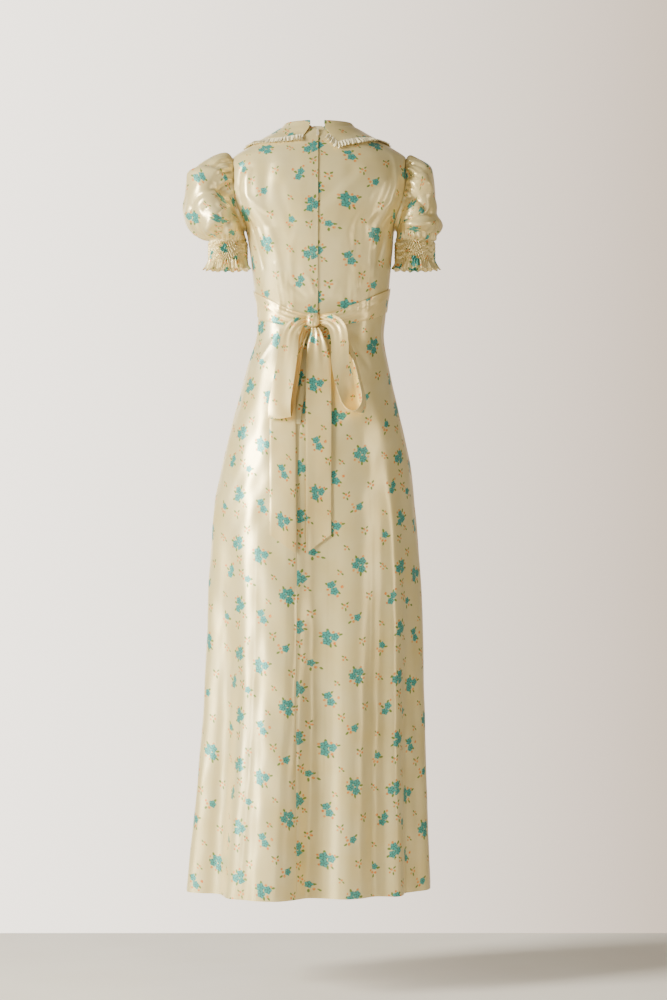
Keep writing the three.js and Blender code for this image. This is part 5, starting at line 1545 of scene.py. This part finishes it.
def make_loop(name):
    rows = LOOPS[name]
    on_dress = surface(angle_at(rows["x"], rows["z"]), rows["z"])
    on_dress[:, 1] += rows["out"]
    rows_t, rows_w = band_grid("loop")
    t, w = rows_t[:, 0], rows_w[0]
    centre = curve_rows(on_dress, t)
    width, turn, tilt = (curve_rows(rows[key], t) for key in ("width", "turn", "tilt"))
    turn, tilt = turn * DEGREE, tilt * DEGREE
    across = xyz(np.cos(tilt) * np.cos(turn), np.cos(tilt) * np.sin(turn), np.sin(tilt))
    normal = unit(np.cross(across, np.gradient(centre, axis=0)))
    near_knot = bell(np.minimum(t, 1 - t) / LOOP_FOLDS["pucker_reach"])[:, None]
    puckers = np.cos(2 * np.pi * LOOP_FOLDS["puckers"] * w)[None, :] * near_knot * LOOP_FOLDS["pucker_rise"]
    cupped = (w**2 * 4)[None, :] * LOOP_FOLDS["cup"] * np.sin(np.pi * t)[:, None]
    turns = LOOP_FOLDS["waver_round"] * rows_t + LOOP_FOLDS["waver_across"] * rows_w
    waver = LOOP_FOLDS["waver"] * np.sin(2 * np.pi * turns)
    outer = centre[:, None] + (across * width[:, None])[:, None] * w[None, :, None]
    lift = (puckers - cupped + waver)[..., None]
    band = Cloth(outer + normal[:, None] * (lift + CLOTH / 2), normal[:, None] + 0 * outer)
    band.uv = np.stack([rows_w * LOOP_FLAT["width"] + LOOP_FLAT["u"], -lengths(band.outer, 0)], -1)
    loop = cloth_object(f"bow_{name}", [band], TIE_SATIN_PAINTED_SHEEN)
    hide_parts(f"bow_loop_{name}")


def make_tail(name, side):
    rows = TAILS[name]
    x, width, lift = (smooth(rows["z"], rows[key]) for key in ("x", "width", "lift"))
    t, w = band_grid("tail")
    z = mix(rows["z"][0], rows["z"][-1] - TAIL_POINT * clamp01(0.5 - side * w), t)
    gather = np.cos(2 * np.pi * TAIL_GATHER["count"] * w) * TAIL_GATHER["rise"]
    gather = gather * (1 - ease(t / TAIL_GATHER["fade"]))
    turns = TAIL_WAVER["down"] * t + TAIL_WAVER["across"] * w * side + TAIL_WAVER["start"]
    waver = TAIL_WAVER["rise"] * np.sin(2 * np.pi * turns) * ease(t / TAIL_WAVER["grow_over"])
    lifted = lift(z) + gather + waver + edge_dip("tail", w) + TAIL_CLEAR
    band = on_surface(angle_at(x(z) + w * width(z), z), z, lifted)
    band.uv = np.stack([-lengths(band.outer, 1), -lengths(band.outer, 0)], -1)
    zero_at(band, PRINT_ANCHORS["tail"][side])
    tail = cloth_object(f"tie_end_{name}", [band], TIE_SATIN_PAINTED_SHEEN)
    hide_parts(f"tie_tail_{name}")


def make_knot():
    """The knot: a squared lump with soft wraps round it."""
    rows, cols = KNOT["rows"], KNOT["columns"]
    up, turn = np.meshgrid(
        np.linspace(-np.pi / 2, np.pi / 2, rows + 1), shares(cols) * 2 * np.pi, indexing="ij")

    def blunt(value, power):
        return np.sign(value) * np.abs(value) ** power

    x = blunt(np.cos(up), KNOT["round"]) * blunt(np.sin(turn), KNOT["across"])
    y = blunt(np.cos(up), KNOT["round"]) * blunt(np.cos(turn), KNOT["across"])
    z = blunt(np.sin(up), KNOT["up"])
    wraps = sum((
        rise * np.cos(across * x + upward * z + start) for rise, across, upward, start in KNOT_WRAPS), 1)
    at_x, at_z = (np.array([float(KNOT[key])]) for key in ("x", "z"))
    tie_top = float(surface(angle_at(at_x, at_z), at_z)[0, 1]) + KNOT["above_tie"]
    centre = np.array([KNOT["x"], tie_top + KNOT["half_depth"] * KNOT["clear"] + SEAM_GAP, KNOT["z"]])
    size = np.array([KNOT["half_width"], KNOT["half_depth"], KNOT["half_height"]]) * KNOT["within"]
    upright = 1 - KNOT["upright_share"] + KNOT["upright_share"] * wraps
    points = xyz(x, y * wraps, z * upright) * size + centre
    vertices = [points[0, 0], *points[1:-1, :-1].reshape(-1, 3), points[-1, 0]]
    faces = []
    for r in range(rows - 2):
        for c in range(cols):
            a, b = 1 + r * cols + c, 1 + r * cols + (c + 1) % cols
            faces.append([a, a + cols, b + cols, b])
    top = len(vertices) - 1
    for c in range(cols):
        faces.append([0, 1 + c, 1 + (c + 1) % cols])
        faces.append([top, top - cols + (c + 1) % cols, top - cols + c])
    knot = mesh_object("knot", np.array(vertices) * MM, faces, TIE_SATIN_PAINTED_SHEEN)
    layer = knot.data.uv_layers.new(name="flat")
    for loop in knot.data.loops:
        spot = knot.data.vertices[loop.vertex_index].co
        layer.data[loop.index].uv = (KNOT["flat"][0] - spot.x, spot.z + KNOT["flat"][1])
    fix_normals(knot)
    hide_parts("bow_knot")


def fix_normals(obj):
    work = bmesh.new()
    work.from_mesh(obj.data)
    bmesh.ops.recalc_face_normals(work, faces=work.faces)
    work.to_mesh(obj.data)
    work.free()


# Zip and stitching

STRIP_SPANS = 240
# Strips of cloth along the zip: from and to, sideways and down, lift over the back, wall and spans across.
ZIP_STRIPS = {
    "zip_tape_cloth": (-9, 9, -1, ZIP_END_Z, -1.9, 0.7, 9),
    "zip_flap": (-0.9, 9, -20, ZIP_END_Z, 1.9, 0.8, 14),
}
# Rows of small bars along the zip: sideways place, from and to down, spacing, lift, length and thickness.
ZIP_TEETH = (0, -2, ZIP_END_Z + 2, 1.3, -0.7, 1.5, 0.55)
FLAP_STITCHES = (8.2, -24, ZIP_END_Z + 3, 3.2, 2.35, 2.2, 0.3)
HEM_STITCHES = {"count": 460, "above_hem": 60.0, "lift": 0.1, "length": 1.0, "thick": 0.35}


def centre_strip(name, material, printed=False):
    from_x, to_x, from_z, to_z, lift, wall, crossings = ZIP_STRIPS[name]
    t, w = np.meshgrid(shares(STRIP_SPANS), shares(crossings), indexing="ij")
    z = mix(from_z, to_z, t)
    grid = on_surface(seam_angle(z) + mix(from_x, to_x, w) / BODY["half"](z), z, lift, wall)
    flat_uv(grid, True)
    if printed:
        edge = np.concatenate(LEFT_EDGE)
        edge = edge[np.argsort(edge[:, 0])]
        u, v = (np.interp(z, edge[:, 0], edge[:, k]) for k in (1, 2))
        grid.uv = np.stack([u - mix(from_x, to_x, w) + ZIP_GAP, v], -1)
    return cloth_object(name, [grid], material)


def make_zip():
    tape = centre_strip("zip_tape_cloth", ZIP_CLOTH)
    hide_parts("zip_tape")
    placket = centre_strip("zip_flap", SATIN, printed=True)
    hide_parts("zip_placket")
    teeth = capsules("zip_teeth", *centre_path(*ZIP_TEETH[:5]), (1, 0, 0), *ZIP_TEETH[5:], ZIP_METAL)
    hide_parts("zip_coil")
    seam = capsules("zip_stitching", *centre_path(*FLAP_STITCHES[:5]), None, *FLAP_STITCHES[5:], THREAD)


def centre_path(x, from_z, to_z, spacing, lift):
    """Evenly spaced places down the back, at a sideways offset from the centre back line."""
    z = np.arange(from_z, to_z, -spacing)
    angle = seam_angle(z) + x / BODY["half"](z)
    normal = normal_at(angle, z)
    return surface(angle, z) + normal * lift, normal


BAR_SIDES = 6
# A bar's rings: their places as shares of its length, and their sizes as shares of its thickness.
BAR_RINGS = [(-0.5, 0.35), (-0.36, 0.85), (0, 1), (0.36, 0.85), (0.5, 0.35)]


def capsules(name, places, normals, way, length, thick, material):
    """Small rounded bars, one at each place: stitches along the path, or teeth across it."""
    if way is None:
        along = np.gradient(places, axis=0)
    else:
        along = np.broadcast_to(np.array(way, float), places.shape)
    along = unit(along - normals * np.sum(along * normals, -1, keepdims=True))
    across = np.cross(along, normals)
    around = np.arange(BAR_SIDES) * np.pi / (BAR_SIDES / 2)
    vertices, faces = [], []
    for place, a, n, c in zip(places, along, normals, across):
        base = len(vertices)
        for share, size in BAR_RINGS:
            for turn in around:
                side = (n * math.sin(turn) + c * math.cos(turn)) * thick / 2 * size
                vertices.append(place + a * share * length + side)
        end = len(vertices) - BAR_SIDES
        for ring in range(base, end, BAR_SIDES):
            for k in range(BAR_SIDES):
                p, q = ring + k, ring + (k + 1) % BAR_SIDES
                faces.append([p, q, q + BAR_SIDES, p + BAR_SIDES])
        faces.append([base + k for k in reversed(range(BAR_SIDES))])
        faces.append([end + k for k in range(BAR_SIDES)])
    obj = mesh_object(name, np.array(vertices) * MM, faces, material)
    fix_normals(obj)
    return obj


def make_hem_stitches():
    """The line of stitches that holds the hem's turn-up."""
    angle = np.linspace(0, 2 * np.pi, HEM_STITCHES["count"], endpoint=False)
    z = np.full(angle.shape, HEM_Z + HEM_STITCHES["above_hem"])
    normal = normal_at(angle, z)
    places = surface(angle, z) + normal * HEM_STITCHES["lift"]
    size = HEM_STITCHES["length"], HEM_STITCHES["thick"]
    hem = capsules("hem_stitches", places, normal, None, *size, THREAD)


def softened(node, name, width, body):
    """A carried node with its edges rounded."""
    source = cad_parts[node]
    obj = bpy.data.objects.new(name, source.data.copy())
    bpy.context.scene.collection.objects.link(obj)
    obj.data.materials.clear()
    obj.data.materials.append(ZIP_METAL)
    weld = obj.modifiers.new("weld", "WELD")
    weld.merge_threshold = MM / 100
    bevel = obj.modifiers.new("bevel", "BEVEL")
    bevel.width = width * MM
    bevel.segments = 3
    bevel.limit_method = "ANGLE"
    evaluated = obj.evaluated_get(bpy.context.evaluated_depsgraph_get())
    smoothed = bpy.data.meshes.new_from_object(evaluated)
    obj.modifiers.clear()
    obj.data = smoothed
    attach(obj, body)
    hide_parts(node)


# Camera, light and floor, in metres

CAMERA = {"place": (-0.0293, 5.0, -0.703), "lens": 95.2, "sensor": 36}
# A pale floor under the hem: height, half width, where it starts behind the dress, and its two shades.
FLOOR = {"z": -1.62, "half": 4.5, "start": -0.6,
         "shades": ((0.88, 0.82, 0.72, 1), (0.93, 0.88, 0.79, 1))}

WALL = {"bright": (3.35, 3.05, 2.65, 1), "shade": (0.92, 0.70, 0.52, 1), "room": (0.30, 0.28, 0.245, 1)}
# Soft lights: name, place, target, size, power and colour.
LIGHTS = [
    ("window", (4.15, 2.0, 0.7), (0, 0, -0.8), (1.3, 2.6), 660, (1.0, 0.975, 0.90)),
    ("fill", (-3.6, 2.8, -0.1), (0, 0, -0.8), (1.0, 2.0), 45, (1.0, 0.90, 0.72)),
]


def look(obj, target):
    way = Vector(target) - obj.location
    obj.rotation_euler = way.to_track_quat("-Z", "Y").to_euler()


def soft_light(name, place, target, size, power, colour):
    data = bpy.data.lights.new(name, "AREA")
    data.shape = "RECTANGLE"
    data.size, data.size_y = size
    data.energy = power
    data.color = colour
    light = bpy.data.objects.new(name, data)
    light.location = place
    bpy.context.scene.collection.objects.link(light)
    look(light, target)


def make_studio():
    scene = bpy.context.scene
    data = bpy.data.cameras.new("camera")
    data.lens = CAMERA["lens"]
    data.sensor_width = CAMERA["sensor"]
    camera = bpy.data.objects.new("camera", data)
    camera.location = CAMERA["place"]
    camera.rotation_euler = (math.pi / 2, 0, math.pi)
    scene.collection.objects.link(camera)
    scene.camera = camera

    world = bpy.data.worlds.new("studio")
    world.use_nodes = True
    scene.world = world
    g = Graph(world.node_tree)
    back = world.node_tree.nodes["Background"]
    # The wall behind the dress is bright on the window's side. The rest of the room is dimmer.
    way = g.add("ShaderNodeSeparateXYZ", {0: g.add("ShaderNodeTexCoord").outputs["Generated"]})
    wall = g.mix_colour(g.step(way.outputs[0], -0.16, 0.13), WALL["shade"], WALL["bright"])
    behind = g.step(way.outputs[1], -0.8, -0.93)
    g.join(g.mix_colour(behind, WALL["room"], wall), back.inputs[0])
    back.inputs[1].default_value = 1.0

    for light in LIGHTS:
        soft_light(*light)

    mesh = bpy.data.meshes.new("floor")
    half, start = FLOOR["half"], FLOOR["start"]
    corners = [(x, y, FLOOR["z"]) for x, y in ((-half, start), (half, start), (half, half), (-half, half))]
    mesh.from_pydata(corners, [], [(0, 1, 2, 3)])
    material, g, shader = new_material("floor", Roughness=0.7)
    place = g.add("ShaderNodeTexCoord").outputs["Object"]
    dust = g.noise(place, 3.0, 6.0).outputs[0]
    g.join(g.mix_colour(g.step(dust, 0.35, 0.7), *FLOOR["shades"]), shader.inputs["Base Color"])
    mesh.materials.append(material)
    floor = bpy.data.objects.new("floor", mesh)
    scene.collection.objects.link(floor)
    floor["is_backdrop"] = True


make_studio()
make_bodice()
make_skirt()
for name, side in (("left", 1), ("right", -1)):
    make_sleeve(name)
    trim = collar_ruffle(name, side)
    collar = make_collar(name, side)
    make_tie_band(name, side)
    make_loop(name)
    make_tail(name, side)
make_knot()
make_zip()
make_hem_stitches()
softened("zip_slider", "slider", 0.12, "dress")
softened("zip_pull_tab", "pull_tab", 0.2, "zip_pull")

boxes = {"cad": cad_box, "visual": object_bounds()}
{name: [list(corner) for corner in box] for name, box in boxes.items()}
